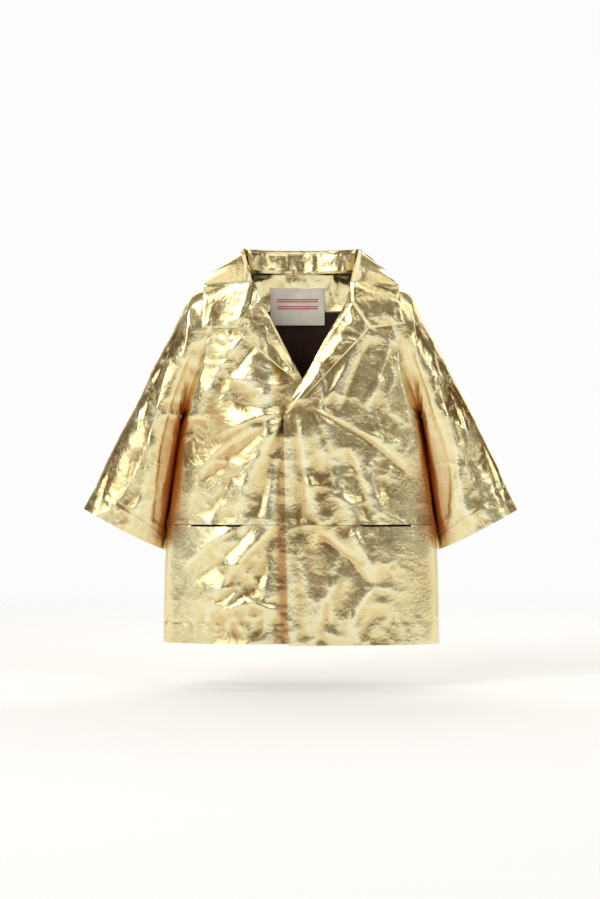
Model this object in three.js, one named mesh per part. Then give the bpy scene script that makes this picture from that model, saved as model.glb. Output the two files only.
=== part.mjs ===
// A child's short coat with a notched collar, hidden-snap front, wide raglan sleeves and in-seam pockets.
// Millimetres, +Z up, front towards -Y, origin on the inner face of the back neck seam.
// "left" and "right" are the wearer's, so the left half lies at +X.
import * as THREE from "three";

// ---- Driving sizes -------------------------------------------------------------------------------------------
const COAT_LENGTH = 521; // back neck seam to hem
const NECK_HALF = 76; // neck point to centre
const SHOULDER_HALF = 155; // shoulder point to centre
const SHOULDER_DROP = 31; // neck point down to shoulder point
const ARMHOLE = 169; // shoulder point down to underarm
const CHEST_HALF = 168.7; // half width at the underarm
const RIB_HALF = 181; // half width halfway to the hem
const HEM_HALF = 195; // half width at the hem
const NECK_DEPTH = 38; // half depth of the body, front to back, at the neck seam
const CHEST_DEPTH = 50; // the same at the underarm
const HEM_DEPTH = 52; // the same at the hem
const SLEEVE_LENGTH = 338; // shoulder point to cuff along the top
const SLEEVE_FALL = 63.3; // degrees that the sleeve's top line falls below level
const CUFF_DEPTH = 27; // half depth of the sleeve at the cuff
const ARM_DEPTH = 33; // half depth of the sleeve at the armhole
const CUFF_IN = { x: 196, z: -392 }; // inner corner of the cuff
const WAIST_DROP = 355; // neck seam down to the waist seam
const BREAK_DROP = 203; // neck seam down to the top snap, where the lapels break
const V_DROP = 148; // neck seam down to the bottom of the neck opening
const CLOTH = 1; // shell cloth with its coating and seam layers
const LINING_CLOTH = 0.7;
const SEAM = 0.4; // gap kept where two pieces are sewn together
const LINING_GAP = 2; // shell to lining
const COLLAR_RISE = 33; // back neck seam up to the collar's roll
const COLLAR_FALL = 76; // roll down to the collar's outer edge at the back
const COLLAR_CENTRE_HALF = 58; // half width of the part of the collar that turns up at the back
const UNDERLAP_DEPTH = 8; // how far the right front runs behind the left front
const HEM_BAND = 29; // depth of the hem and cuff facings
const POCKET = { from: 84, to: 148, drop: 92, gape: 11 }; // in-seam pocket bag
const POCKET_MOUTH = 6; // how far the waist seam gapes over a pocket
const FACING_WIDTH = 50; // depth of the front facings behind the front edges
const LABEL = { width: 77, height: 52, drop: 21, x: -5.5 };
const SNAP = {
  count: 4,
  radius: 6.5,
  hole: 3.4, // radius of the socket's opening
  post: 2, // radius of the stud's post
  pitch: 78, // between one snap and the next
  step: 44, // more between the top snap and the second
  aboveBreak: 13, // the top snap's height over the break
  x: -13,
  topX: -4,
};
const GRID = 27; // target spacing of mesh rows

// ---- Derived places ------------------------------------------------------------------------------------------
const MID_Y = -(NECK_DEPTH - CLOTH); // plane midway between front and back
const shoulder = { x: SHOULDER_HALF, z: -SHOULDER_DROP };
const underarm = { x: CHEST_HALF, z: -SHOULDER_DROP - ARMHOLE };
const fall = THREE.MathUtils.degToRad(SLEEVE_FALL);
const cuffOut = {
  x: shoulder.x + SLEEVE_LENGTH * Math.cos(fall),
  z: shoulder.z - SLEEVE_LENGTH * Math.sin(fall),
};
const ribZ = (underarm.z - COAT_LENGTH) / 2 + 70;
const waistZ = -WAIST_DROP;
const breakZ = -BREAK_DROP;
const hemZ = -COAT_LENGTH;

// Piecewise-linear value at z from [z, value] pairs that run downwards.
function table(pairs) {
  return (z) => {
    for (let i = 1; i < pairs.length; i++) {
      const [z0, a] = pairs[i - 1];
      const [z1, b] = pairs[i];
      if (z >= z1 || i === pairs.length - 1) {
        return a + (b - a) * THREE.MathUtils.clamp((z0 - z) / (z0 - z1), 0, 1);
      }
    }
    return pairs[0][1];
  };
}

const halfWidth = table([
  [0, NECK_HALF],
  [shoulder.z, shoulder.x],
  [underarm.z, underarm.x],
  [ribZ, RIB_HALF],
  [CUFF_IN.z, HEM_HALF - 2.5],
  [hemZ, HEM_HALF],
]);
const halfDepth = table([
  [0, NECK_DEPTH],
  [shoulder.z, NECK_DEPTH + 5],
  [underarm.z, CHEST_DEPTH],
  [hemZ, HEM_DEPTH],
]);
// Raglan seam: distance from the centre at height z, from the neck point to the underarm.
const raglan = table([
  [-6, NECK_HALF - 2],
  [shoulder.z - 64, SHOULDER_HALF - 37],
  [shoulder.z - 129, SHOULDER_HALF - 3],
  [underarm.z, underarm.x - SEAM],
]);

// Squared half depth of the whole coat at (x, z): the body's lens plus the sleeve head's swell.
function depthSquared(x, z) {
  const w = halfWidth(z);
  const body = halfDepth(z) ** 2 * (1 - (x / w) ** 2);
  const down = THREE.MathUtils.clamp((shoulder.z - z) / ARMHOLE, 0, 1);
  const seam = raglan(z);
  const out = THREE.MathUtils.clamp((Math.abs(x) - seam) / Math.max(w - seam, 1), 0, 1);
  return body + ARM_DEPTH ** 2 * 4 * down * (1 - down) * out ** 2;
}

// ---- Sheet builder -------------------------------------------------------------------------------------------
const materials = {
  gold: new THREE.MeshStandardMaterial({ color: 0xd9b978, roughness: 0.3, metalness: 1 }),
  lining: new THREE.MeshStandardMaterial({ color: 0x35221c, roughness: 0.75, metalness: 0 }),
  label: new THREE.MeshStandardMaterial({ color: 0xd0c4b2, roughness: 0.8, metalness: 0 }),
  snap: new THREE.MeshStandardMaterial({ color: 0xb08d52, roughness: 0.35, metalness: 1 }),
};
const coat = new THREE.Group();
coat.name = "coat";

function addMesh(name, geometry, material) {
  const mesh = new THREE.Mesh(geometry, materials[material].clone());
  mesh.name = name;
  coat.add(mesh);
  return mesh;
}

const STEP = 1e-3;

// Unit normal of the surface point(u, v).
function normalAt(point, u, v) {
  const du = point(u + STEP, v).sub(point(u - STEP, v));
  const dv = point(u, v + STEP).sub(point(u, v - STEP));
  return du.cross(dv).normalize();
}

// A closed thin solid over the surface point(u, v): outer and inner are offsets along its outward normal,
// as numbers or functions of (u, v). outward(p) tells which side is out, at a point a quarter of the way across.
// With ring, u runs all the way round.
function sheet(name, material, { point, outward, across, down, outer, inner, ring = false }) {
  const offset = (value, u, v) => (typeof value === "function" ? value(u, v) : value);
  const columns = ring ? across : across + 1;
  const rows = down + 1;
  const sample = point(0.25, 0.5);
  const out = Math.sign(normalAt(point, 0.25, 0.5).dot(outward(sample)));
  const positions = [];
  for (const side of [outer, inner]) {
    for (let j = 0; j < rows; j++) {
      for (let i = 0; i < columns; i++) {
        const u = i / across;
        const v = j / down;
        const p = point(u, v).addScaledVector(normalAt(point, u, v), out * offset(side, u, v));
        positions.push(p.x, p.y, p.z);
      }
    }
  }
  const id = (layer, i, j) => layer * rows * columns + j * columns + (i % columns);
  const index = [];
  const quad = (a, b, c, d) => index.push(a, b, c, a, c, d);
  const cells = ring ? columns : columns - 1;
  for (let j = 0; j < down; j++) {
    for (let i = 0; i < cells; i++) {
      quad(id(0, i, j), id(0, i + 1, j), id(0, i + 1, j + 1), id(0, i, j + 1));
      quad(id(1, i, j), id(1, i, j + 1), id(1, i + 1, j + 1), id(1, i + 1, j));
    }
  }
  for (let i = 0; i < cells; i++) {
    quad(id(0, i, 0), id(1, i, 0), id(1, i + 1, 0), id(0, i + 1, 0));
    quad(id(0, i, down), id(0, i + 1, down), id(1, i + 1, down), id(1, i, down));
  }
  if (!ring) {
    for (let j = 0; j < down; j++) {
      quad(id(0, 0, j), id(0, 0, j + 1), id(1, 0, j + 1), id(1, 0, j));
      quad(id(0, across, j), id(1, across, j), id(1, across, j + 1), id(0, across, j + 1));
    }
  }
  return addMesh(name, closedGeometry(positions, index), material);
}

// Geometry from shared vertices, wound so that its faces point out.
function closedGeometry(positions, index) {
  const corner = (i) => new THREE.Vector3().fromArray(positions, 3 * i);
  let volume = 0;
  for (let i = 0; i < index.length; i += 3) {
    volume += corner(index[i]).dot(corner(index[i + 1]).cross(corner(index[i + 2])));
  }
  if (volume < 0) {
    for (let i = 0; i < index.length; i += 3) {
      [index[i + 1], index[i + 2]] = [index[i + 2], index[i + 1]];
    }
  }
  const geometry = new THREE.BufferGeometry();
  geometry.setAttribute("position", new THREE.Float32BufferAttribute(positions, 3));
  geometry.setIndex(index);
  geometry.computeVertexNormals();
  return geometry;
}

const FRONT = -1;
const BACK = 1;
const fromMid = (p) => new THREE.Vector3(p.x * 0.2, p.y - MID_Y, 0);

// Heights of the mesh rows, the same for every panel so that the layers stay clear of each other: about GRID
// apart, with a row wherever an edge or the body's outline bends.
function allLevels() {
  const knots = [0, -6, shoulder.z, shoulder.z - 64, -V_DROP, -V_DROP - 18, shoulder.z - 129, underarm.z,
    breakZ, waistZ, hemZ].sort((a, b) => b - a);
  const levels = [0];
  for (let i = 1; i < knots.length; i++) {
    const steps = Math.max(1, Math.round((knots[i - 1] - knots[i]) / GRID));
    for (let k = 1; k <= steps; k++) {
      levels.push(knots[i - 1] + ((knots[i] - knots[i - 1]) * k) / steps);
    }
  }
  return levels;
}
const LEVELS = allLevels();
const CLOSE_ROWS = 2; // a level this near to an edge's own row is left out
const rowLevels = (top, bottom) => [
  top,
  ...LEVELS.filter((z) => z < top - CLOSE_ROWS && z > bottom + CLOSE_ROWS),
  bottom,
];

// Height at the share v of the rows, carried on past either end.
function levelAt(levels, v) {
  const s = v * (levels.length - 1);
  const i = THREE.MathUtils.clamp(Math.floor(s), 0, levels.length - 2);
  return levels[i] + (levels[i + 1] - levels[i]) * (s - i);
}

// A panel of the body between heights top and bottom, and between the edges x0(z) and x1(z).
// Its rows are spaced evenly round the body's curve, so the side edges stay smooth.
function bodyPanel(name, material, { face, top, bottom, x0, x1, outer, inner, across }) {
  const levels = rowLevels(top, bottom);
  const place = (u, v) => {
    const z = levelAt(levels, v);
    const w = halfWidth(z);
    const angle = (x) => Math.acos(THREE.MathUtils.clamp(x / w, -1, 1));
    const a = angle(x0(z)) + (angle(x1(z)) - angle(x0(z))) * u;
    return { a, z, w };
  };
  const point = (u, v) => {
    const { a, z, w } = place(u, v);
    return new THREE.Vector3(w * Math.cos(a), MID_Y + face * halfDepth(z) * Math.sin(a), z);
  };
  const atPoint = (value) =>
    typeof value === "function"
      ? (u, v) => {
          const { a, z, w } = place(u, v);
          return value(w * Math.cos(a), z);
        }
      : value;
  return sheet(name, material, {
    point,
    outward: fromMid,
    across,
    down: levels.length - 1,
    outer: atPoint(outer),
    inner: atPoint(inner),
  });
}

// ---- Edges of the fronts -------------------------------------------------------------------------------------
const EDGE_GAP = 0.25; // half of the gap where front and back meet at the sides
const sideEdge = (z) => (z > underarm.z ? raglan(z) - SEAM : halfWidth(z) * Math.cos(EDGE_GAP / halfDepth(z)));
const leftFrontEdge = table([
  [breakZ, -25],
  [waistZ, -22],
  [hemZ, -17.5],
]);
const leftRoll = table([
  [-8, 72],
  [-45, 62],
  [breakZ, leftFrontEdge(breakZ)],
]);
const rightRollPoints = [
  [-8, -72],
  [-20, -67],
  [-V_DROP, -1],
];
const rightRoll = table(rightRollPoints);
const UNDERLAP_X = 18; // how far past the centre the right front reaches
const leftFold = table([
  [breakZ, leftFrontEdge(breakZ)],
  [hemZ, 95],
]);
const rightFold = table([
  [breakZ, -30],
  [hemZ, -120],
]);
// The right front opens by this share of the left front's turn. It reaches only as far past the centre as lets
// the left front stay ahead of it.
const UNDERLAP_TURN = 0.3;
const LAP_MARGIN = 2;
const rightFrontEdge = (z) =>
  Math.min(UNDERLAP_X, (leftFold(z) + UNDERLAP_TURN * rightFold(z)) / (1 + UNDERLAP_TURN) - LAP_MARGIN);
const rightInnerEdge = table([
  ...rightRollPoints,
  [-V_DROP - 18, UNDERLAP_X - 4],
  [breakZ, UNDERLAP_X - 4],
]);
// The right front dips behind the left front where they overlap.
const UNDERLAP_FLAT = -34; // from here on it lies at its full depth
const UNDERLAP_RUN = 18; // width of the slope down to that depth
const underlap = (x) =>
  -UNDERLAP_DEPTH * THREE.MathUtils.smoothstep(x, UNDERLAP_FLAT - UNDERLAP_RUN, UNDERLAP_FLAT);

// ---- Fronts --------------------------------------------------------------------------------------------------
const frontTop = -9;
const flapTop = breakZ - 12;
const FOLD_GAP = 0.4; // half of the gap along a fold that turns
const leftInnerEdge = (z) => (z > breakZ ? leftRoll(z) : leftFold(z)) + FOLD_GAP;
const rightOuterFold = (z) => (z > breakZ ? rightInnerEdge(z) : rightFold(z) - FOLD_GAP);
const negSideEdge = (z) => -sideEdge(z);

const TAB_CLEAR = 6; // from the pocket bag out to the tab that closes the waist seam beside it

function fronts() {
  const upper = { face: FRONT, top: frontTop, bottom: waistZ + SEAM };
  bodyPanel("left_upper_front", "gold", {
    ...upper, x0: leftInnerEdge, x1: sideEdge, outer: 0, inner: -CLOTH, across: 10,
  });
  bodyPanel("right_upper_front", "gold", {
    ...upper, x0: negSideEdge, x1: rightOuterFold, across: 14,
    outer: underlap, inner: (x) => underlap(x) - CLOTH,
  });
  // Below the waist seam each panel starts lower over the pocket, where the seam is left open.
  for (const [side, sign, fold] of [["left", 1, leftFold], ["right", -1, rightFold]]) {
    const inner = (z) => fold(z) + sign * FOLD_GAP;
    const outer = (z) => sign * sideEdge(z);
    bodyPanel(side + "_lower_front", "gold", {
      face: FRONT, top: waistZ - POCKET_MOUTH, bottom: hemZ, across: 9, outer: 0, inner: -CLOTH,
      x0: sign > 0 ? inner : outer, x1: sign > 0 ? outer : inner,
    });
    const tabStart = () => sign * (POCKET.to + TAB_CLEAR);
    bodyPanel(side + "_pocket_end_tab", "gold", {
      face: FRONT, top: waistZ - SEAM, bottom: waistZ - POCKET_MOUTH + SEAM, across: 3,
      outer: 0, inner: -CLOTH,
      x0: sign > 0 ? tabStart : outer, x1: sign > 0 ? outer : tabStart,
    });
  }
}

const FACING_TOP = flapTop - 30;
const FOLD_CLEAR = 4; // a facing stops this far short of its front's fold

// The parts of the fronts that swing open below the top snap.
function flaps() {
  const halves = [
    ["upper", flapTop, waistZ + SEAM],
    ["lower", waistZ - SEAM, hemZ - 2.5],
  ];
  for (const [half, top, bottom] of halves) {
    bodyPanel("left_flap_" + half, "gold", {
      face: FRONT, top, bottom, x0: leftFrontEdge, x1: (z) => leftFold(z) - FOLD_GAP, across: 4,
      outer: 0, inner: -CLOTH,
    });
    bodyPanel("right_flap_" + half, "gold", {
      face: FRONT, top, bottom, x0: (z) => rightFold(z) + FOLD_GAP, x1: rightFrontEdge, across: 5,
      outer: underlap, inner: (x) => underlap(x) - CLOTH,
    });
  }
  bodyPanel("left_front_facing", "gold", {
    face: FRONT, top: FACING_TOP, bottom: hemZ, across: 3,
    x0: (z) => leftFrontEdge(z) + 1,
    x1: (z) => Math.min(leftFold(z) - FOLD_CLEAR, leftFrontEdge(z) + FACING_WIDTH),
    outer: -CLOTH - SEAM, inner: -2 * CLOTH - SEAM,
  });
  bodyPanel("right_front_facing", "gold", {
    face: FRONT, top: FACING_TOP, bottom: hemZ, across: 3,
    x0: (z) => Math.max(rightFold(z) + FOLD_CLEAR, UNDERLAP_FLAT + 2),
    x1: (z) => rightFrontEdge(z) - 1,
    outer: (x) => underlap(x) - CLOTH - SEAM, inner: (x) => underlap(x) - 2 * CLOTH - SEAM,
  });
}

// ---- Back, shoulders and sleeves -----------------------------------------------------------------------------
const NECK_FACING_HALF = 58;
const liningTop = -LABEL.drop - 33;
const facingOuter = -CLOTH - SEAM;
const facingInner = -2 * CLOTH - SEAM;
const lined = { outer: -CLOTH - LINING_GAP, inner: -CLOTH - LINING_GAP - LINING_CLOTH };
const ARM_CLEAR = 17; // how far inside the side edge a lining keeps above the underarm
const liningEdge = (z) =>
  sideEdge(z) - ARM_CLEAR * (1 - THREE.MathUtils.smoothstep(-z, 5 - underarm.z, 40 - underarm.z));

function back() {
  const whole = { face: BACK, across: 18 };
  const neck = { z: -6, x: raglan(-6) }; // above this height the back is as wide as the neck
  const edge = (z) => (z > neck.z ? neck.x : sideEdge(z));
  bodyPanel("back_panel", "gold", {
    ...whole, top: 0, bottom: hemZ, outer: 0, inner: -CLOTH, x0: (z) => -edge(z), x1: edge,
  });
  bodyPanel("back_neck_facing", "gold", {
    face: BACK, top: -1, bottom: liningTop + 2, across: 8,
    x0: () => -NECK_FACING_HALF, x1: () => NECK_FACING_HALF,
    outer: -CLOTH - LINING_GAP, inner: -2 * CLOTH - LINING_GAP,
  });
  bodyPanel("back_lining", "lining", {
    ...whole, ...lined, top: liningTop, bottom: hemZ + HEM_BAND + 3,
    x0: (z) => -liningEdge(z), x1: liningEdge,
  });
  const labelBack = -2 * CLOTH - LINING_GAP - 0.7;
  bodyPanel("neck_label", "label", {
    face: BACK, top: -LABEL.drop, bottom: -LABEL.drop - LABEL.height, across: 4,
    x0: () => LABEL.x - LABEL.width / 2, x1: () => LABEL.x + LABEL.width / 2,
    outer: labelBack, inner: labelBack - 0.6,
  });
  bodyPanel("back_hem_facing", "gold", {
    ...whole, top: hemZ + HEM_BAND, bottom: hemZ + 1, x0: negSideEdge, x1: sideEdge,
    outer: facingOuter, inner: facingInner,
  });
}

// How far in the front linings lie: they hang clear behind the pocket bags.
function frontLiningDepth(x, z) {
  const step = THREE.MathUtils.smoothstep;
  const along = step(Math.abs(x), POCKET.from - 22, POCKET.from - 6)
    * (1 - step(Math.abs(x), POCKET.to + 4, POCKET.to + 20));
  const below = step(-z, WAIST_DROP - 36, WAIST_DROP - 22);
  const above = 1 - step(-z, WAIST_DROP + POCKET.drop + 22, WAIST_DROP + POCKET.drop + 36);
  return -CLOTH - LINING_GAP - (POCKET.gape + 2) * along * below * above;
}

const LINING_IN = { left: 22, right: -54 }; // left: from the front's inner edge; right: from the centre
const ROLL_CLEAR = 8; // the right lining stops this far outside the lapel's roll

function frontInsides() {
  const leftLining = (z) => leftInnerEdge(z) + LINING_IN.left;
  const rightLining = (z) =>
    Math.min(z > breakZ ? rightRoll(z) - ROLL_CLEAR : rightFold(z), LINING_IN.right);
  const halves = [["left", 1, leftFold, leftLining], ["right", -1, rightFold, rightLining]];
  for (const [side, sign, fold, liningInner] of halves) {
    const ordered = (inner, outer) => (sign > 0 ? { x0: inner, x1: outer } : { x0: outer, x1: inner });
    bodyPanel(side + "_hem_facing", "gold", {
      face: FRONT, top: hemZ + HEM_BAND, bottom: hemZ + 1, across: 9, outer: facingOuter, inner: facingInner,
      ...ordered((z) => fold(z) + sign * 2, (z) => sign * sideEdge(z)),
    });
    bodyPanel(side + "_front_lining", "lining", {
      face: FRONT, top: -70, bottom: hemZ + HEM_BAND + 3, across: 16,
      ...ordered(liningInner, (z) => sign * liningEdge(z)),
      outer: frontLiningDepth, inner: (x, z) => frontLiningDepth(x, z) - LINING_CLOTH,
    });
  }
}

// The raglan head runs from the neck over the shoulder, between the front and back raglan seams.
function shoulderHead(name, sign, material, { outer, inner, trim, from, to }) {
  const point = (u, v) => {
    const t = from + (to - from) * v;
    const w = (2 * u - 1) * (1 - trim);
    const share = 1 - Math.cos((Math.abs(w) * Math.PI) / 2);
    const ridge = new THREE.Vector2(NECK_HALF + (shoulder.x - NECK_HALF) * t, shoulder.z * t);
    const seamZ = -10 + (underarm.z + 10 + 1.5) * t;
    const seam = new THREE.Vector2(raglan(seamZ) + 2 * SEAM, seamZ);
    const p = ridge.lerp(seam, share);
    const depth = Math.sqrt(Math.max(depthSquared(p.x, p.y), 0));
    return new THREE.Vector3(sign * p.x, MID_Y + Math.sign(w) * depth, p.y);
  };
  const outward = (p) => new THREE.Vector3(sign * 30, (p.y - MID_Y) * 3, 40);
  sheet(name, material, { point, outward, across: 14, down: 8, outer, inner });
}

const SLEEVE_GAP = 1.2;
function sleevePoint(sign, from, to) {
  return (u, v) => {
    const t = from + (to - from) * v;
    const a = 2 * Math.PI * u;
    const top = new THREE.Vector2(
      THREE.MathUtils.lerp(shoulder.x + SLEEVE_GAP, cuffOut.x, t),
      THREE.MathUtils.lerp(shoulder.z - 0.5, cuffOut.z, t),
    );
    const under = new THREE.Vector2(
      THREE.MathUtils.lerp(underarm.x + 1.6, CUFF_IN.x + 1, t),
      THREE.MathUtils.lerp(underarm.z - 1, CUFF_IN.z, t),
    );
    const p = top.lerp(under, (1 - Math.cos(a)) / 2);
    const depth = THREE.MathUtils.lerp(ARM_DEPTH, CUFF_DEPTH, t);
    return new THREE.Vector3(sign * p.x, MID_Y - depth * Math.sin(a), p.y);
  };
}

function sleeves() {
  for (const [side, sign] of [["left", 1], ["right", -1]]) {
    shoulderHead(side + "_shoulder", sign, "gold", { outer: 0, inner: -CLOTH, trim: 0, from: 0, to: 0.9975 });
    shoulderHead(side + "_shoulder_lining", sign, "lining", { ...lined, trim: 0.12, from: 0.2, to: 0.9 });
    const tube = (name, material, from, to, outer, inner, down) =>
      sheet(name, material, {
        point: sleevePoint(sign, from, to), outward: fromMid, across: 16, down, outer, inner, ring: true,
      });
    const band = HEM_BAND / 250; // the cuff facing's share of the sleeve's length
    tube(side + "_sleeve", "gold", 0, 1, 0, -CLOTH, 10);
    tube(side + "_cuff_facing", "gold", 1 - band, 0.995, facingOuter, facingInner, 2);
    tube(side + "_sleeve_lining", "lining", 0.05, 1 - band + 0.02, lined.outer, lined.inner, 8);
  }
}

// ---- Pockets -------------------------------------------------------------------------------------------------
const BAG_WALL = 0.8;
const BAG_DEPTH = 1.9; // from the front's outer face in to the bag
const BAG_ROWS = 7;
const BAG_COLUMNS = 5;

// A flat bag hung behind the waist seam, open at the top: front and back walls joined round the sides and bottom.
function pocketBag(name, sign) {
  const top = waistZ - POCKET_MOUTH - 1;
  const bottom = top - POCKET.drop;
  // A cross-section at height z, shrunk on all sides: along the front wall, then back along the rear wall.
  const section = (z, shrink) => {
    const from = POCKET.from + shrink;
    const width = POCKET.to - shrink - from;
    const at = (i, depth) => {
      const { point, normal } = bodySurfacePoint(
        sign * (from + width * (i / BAG_COLUMNS)),
        Math.max(z, bottom + shrink),
      );
      return point.addScaledVector(normal, -depth);
    };
    const columns = [...Array(BAG_COLUMNS + 1).keys()];
    return [
      ...columns.map((i) => at(i, BAG_DEPTH + shrink)),
      ...columns.reverse().map((i) => at(i, BAG_DEPTH + POCKET.gape - shrink)),
    ];
  };
  const positions = [];
  for (const shrink of [0, BAG_WALL]) {
    for (let j = 0; j <= BAG_ROWS; j++) {
      for (const p of section(top + (bottom - top) * (j / BAG_ROWS), shrink)) {
        positions.push(p.x, p.y, p.z);
      }
    }
  }
  const n = 2 * (BAG_COLUMNS + 1);
  const [OUTSIDE, INSIDE] = [0, 1];
  const id = (layer, j, i) => layer * (BAG_ROWS + 1) * n + j * n + (i % n);
  const index = [];
  const quad = (a, b, c, d) => index.push(a, b, c, a, c, d);
  for (let j = 0; j < BAG_ROWS; j++) {
    for (let i = 0; i < n; i++) {
      quad(id(OUTSIDE, j, i), id(OUTSIDE, j, i + 1), id(OUTSIDE, j + 1, i + 1), id(OUTSIDE, j + 1, i));
      quad(id(INSIDE, j, i), id(INSIDE, j + 1, i), id(INSIDE, j + 1, i + 1), id(INSIDE, j, i + 1));
    }
  }
  for (let i = 0; i < n; i++) {
    quad(id(OUTSIDE, 0, i), id(INSIDE, 0, i), id(INSIDE, 0, i + 1), id(OUTSIDE, 0, i + 1));
  }
  // The two bottoms: strips between the front run and the rear run of each loop.
  for (let i = 0; i < BAG_COLUMNS; i++) {
    for (const layer of [OUTSIDE, INSIDE]) {
      const front = [id(layer, BAG_ROWS, i), id(layer, BAG_ROWS, i + 1)];
      const rear = [id(layer, BAG_ROWS, n - 2 - i), id(layer, BAG_ROWS, n - 1 - i)];
      const strip = [...front, ...rear];
      quad(...(layer === OUTSIDE ? strip : strip.reverse()));
    }
  }
  addMesh(name, closedGeometry(positions, index), "lining");
}

// The front's point and outward normal at x and z.
function bodySurfacePoint(x, z) {
  const w = halfWidth(z);
  const d = halfDepth(z);
  const y = -d * Math.sqrt(1 - (x / w) ** 2);
  const normal = new THREE.Vector3(x / w ** 2, y / d ** 2, 0).normalize();
  return { point: new THREE.Vector3(x, MID_Y + y, z), normal };
}

// ---- Collar and lapels ---------------------------------------------------------------------------------------
const ROLL_HALF = NECK_HALF + 4;
const ROLL_DEPTH = NECK_DEPTH + 6;
const collarOut = { x: 130, z: -6 }; // where the collar's outer edge crosses the shoulder
const COLLAR_CLEAR = 4;
const STAND_LEAN = 4.5; // how far the stand's top leans back past its foot
const SIDE_END = 0.006; // radians left between the collar's side and its leaf, on the shoulder's ridge
const TURN_GAP = 0.005; // radians left each side of where the collar starts to turn up

// The collar behind the shoulders: angle 0 is the wearer's left shoulder, pi the right one.
function collarBack(u0, u1) {
  return (u, v) => {
    const a = u0 + (u1 - u0) * u;
    const c = Math.cos(a);
    const s = Math.sin(a);
    const roll = new THREE.Vector3(ROLL_HALF * c, MID_Y + ROLL_DEPTH * s, COLLAR_RISE);
    const x = collarOut.x * c;
    const z = collarOut.z - (COLLAR_FALL - COLLAR_RISE + collarOut.z) * Math.sqrt(s);
    const y = MID_Y + Math.sqrt(Math.max(depthSquared(x, z), 0)) + COLLAR_CLEAR * s;
    const edge = new THREE.Vector3(x, Math.max(y, roll.y + 1.5), z);
    const p = roll.lerp(edge, v);
    p.y += 3 * Math.sin(Math.PI * v) * s;
    return p;
  };
}

function collar() {
  const outward = (p) => new THREE.Vector3(p.x * 0.6, (p.y - MID_Y) * 1.2, 30);
  const split = Math.acos(COLLAR_CENTRE_HALF / ROLL_HALF);
  const part = (name, from, to, across) =>
    sheet(name, "gold", { point: collarBack(from, to), outward, across, down: 4, outer: CLOTH, inner: 0 });
  part("collar_back", split + TURN_GAP, Math.PI - split - TURN_GAP, 10);
  part("left_collar_side", SIDE_END, split - TURN_GAP, 6);
  part("right_collar_side", Math.PI - split + TURN_GAP, Math.PI - SIDE_END, 6);
  const stand = (u, v) => {
    const a = Math.PI * (0.02 + 0.96 * u);
    const lean = STAND_LEAN * v;
    return new THREE.Vector3(
      (NECK_HALF - 2 + lean * 0.4) * Math.cos(a),
      MID_Y + (NECK_DEPTH - 1 + lean) * Math.sin(a),
      1 + (COLLAR_RISE - 3) * v,
    );
  };
  sheet("collar_stand", "gold", {
    point: stand, outward: (p) => new THREE.Vector3(p.x, p.y - MID_Y, 0),
    across: 16, down: 3, outer: 0.4, inner: -0.8,
  });
}

const LEAF_LOFT = 11; // how far the leaf stands off the shoulder in front of its ridge
const LEAF_SPLIT = 0.38; // share of the leaf that stays on the shoulder
const LAPEL_LIFT = 2.2;
const ROLL_LIFT = 0.7; // the lapel's lift where it rolls over the edge of the front

// A point held lift in front of the coat's front, or at the middle plane where the coat ends below it.
function overFront(x, z, lift) {
  return new THREE.Vector3(x, MID_Y - Math.sqrt(Math.max(depthSquared(x, z), 0)) - lift, z);
}

// A four-sided sheet between the edges near(v) and far(v), each giving [x, z], v running down.
function frontSheet(name, near, far, lift, across, down) {
  const point = (u, v) => {
    const [x0, z0] = near(v);
    const [x1, z1] = far(v);
    return overFront(x0 + (x1 - x0) * u, z0 + (z1 - z0) * u, lift(u, v));
  };
  const outward = (p) => new THREE.Vector3(p.x * 0.3, -60, 25);
  sheet(name, "gold", { point, outward, across, down, outer: CLOTH, inner: 0 });
}

// Point a share of the way along a chain of [x, z] points, by equal steps between them.
function along(points) {
  return (v) => {
    const s = THREE.MathUtils.clamp(v, 0, 1) * (points.length - 1);
    const i = Math.min(Math.floor(s), points.length - 2);
    const f = s - i;
    return [0, 1].map((k) => points[i][k] * (1 - f) + points[i + 1][k] * f);
  };
}

function reverses() {
  // Leaves: down the roll and the gorge seam on the inside, down the free edge on the outside.
  const leafLift = (u, v) => {
    const overShoulder = LEAF_LOFT * (1 - THREE.MathUtils.smoothstep(v, 0.1, 0.6));
    return (LAPEL_LIFT + overShoulder) * THREE.MathUtils.smoothstep(v, -0.01, 0.17);
  };
  // The part over the shoulder stays put; the part below it turns with the lapel.
  const leaf = (side, sign, roll, gorge, notch, tip) => {
    const near = along([[sign * (ROLL_HALF + 1), COLLAR_RISE - 1], roll, gorge, notch]);
    const far = along([[sign * collarOut.x, collarOut.z - 1], [sign * 136, -22], [sign * 138, -42], tip]);
    const parts = [["shoulder", 0, LEAF_SPLIT - 0.035, 3], ["leaf", LEAF_SPLIT, 1, 4]];
    for (const [part, from, to, down] of parts) {
      const share = (v) => from + (to - from) * v;
      frontSheet(side + "_collar_" + part, (v) => near(share(v)), (v) => far(share(v)),
        (u, v) => leafLift(u, share(v)), 6, down);
    }
  };
  leaf("left", 1, [68, -16], [69, -45], [94, -81.5], [145, -74]);
  leaf("right", -1, [-68, -18], [-72, -45], [-89, -80.5], [-139, -80]);
  const lapelLift = (u) => ROLL_LIFT + (LAPEL_LIFT - ROLL_LIFT) * THREE.MathUtils.smoothstep(u, 0, 0.4);
  frontSheet("left_lapel",
    along([[68.5, -45.4], [40.6, -84], [11.5, -136], [-9, -172], [-23, -198]]),
    along([[93.5, -82.1], [85, -92], [44, -135], [12, -169], [-20.5, -199.5]]), lapelLift, 4, 8);
  frontSheet("right_lapel",
    along([[-71.4, -45.3], [-52.8, -52], [-36, -82], [-19, -116], [-6, -142]]),
    along([[-88.4, -80.8], [-88, -90], [-60, -112], [-32, -135], [-8, -153]]), lapelLift, 5, 8);
}

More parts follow.
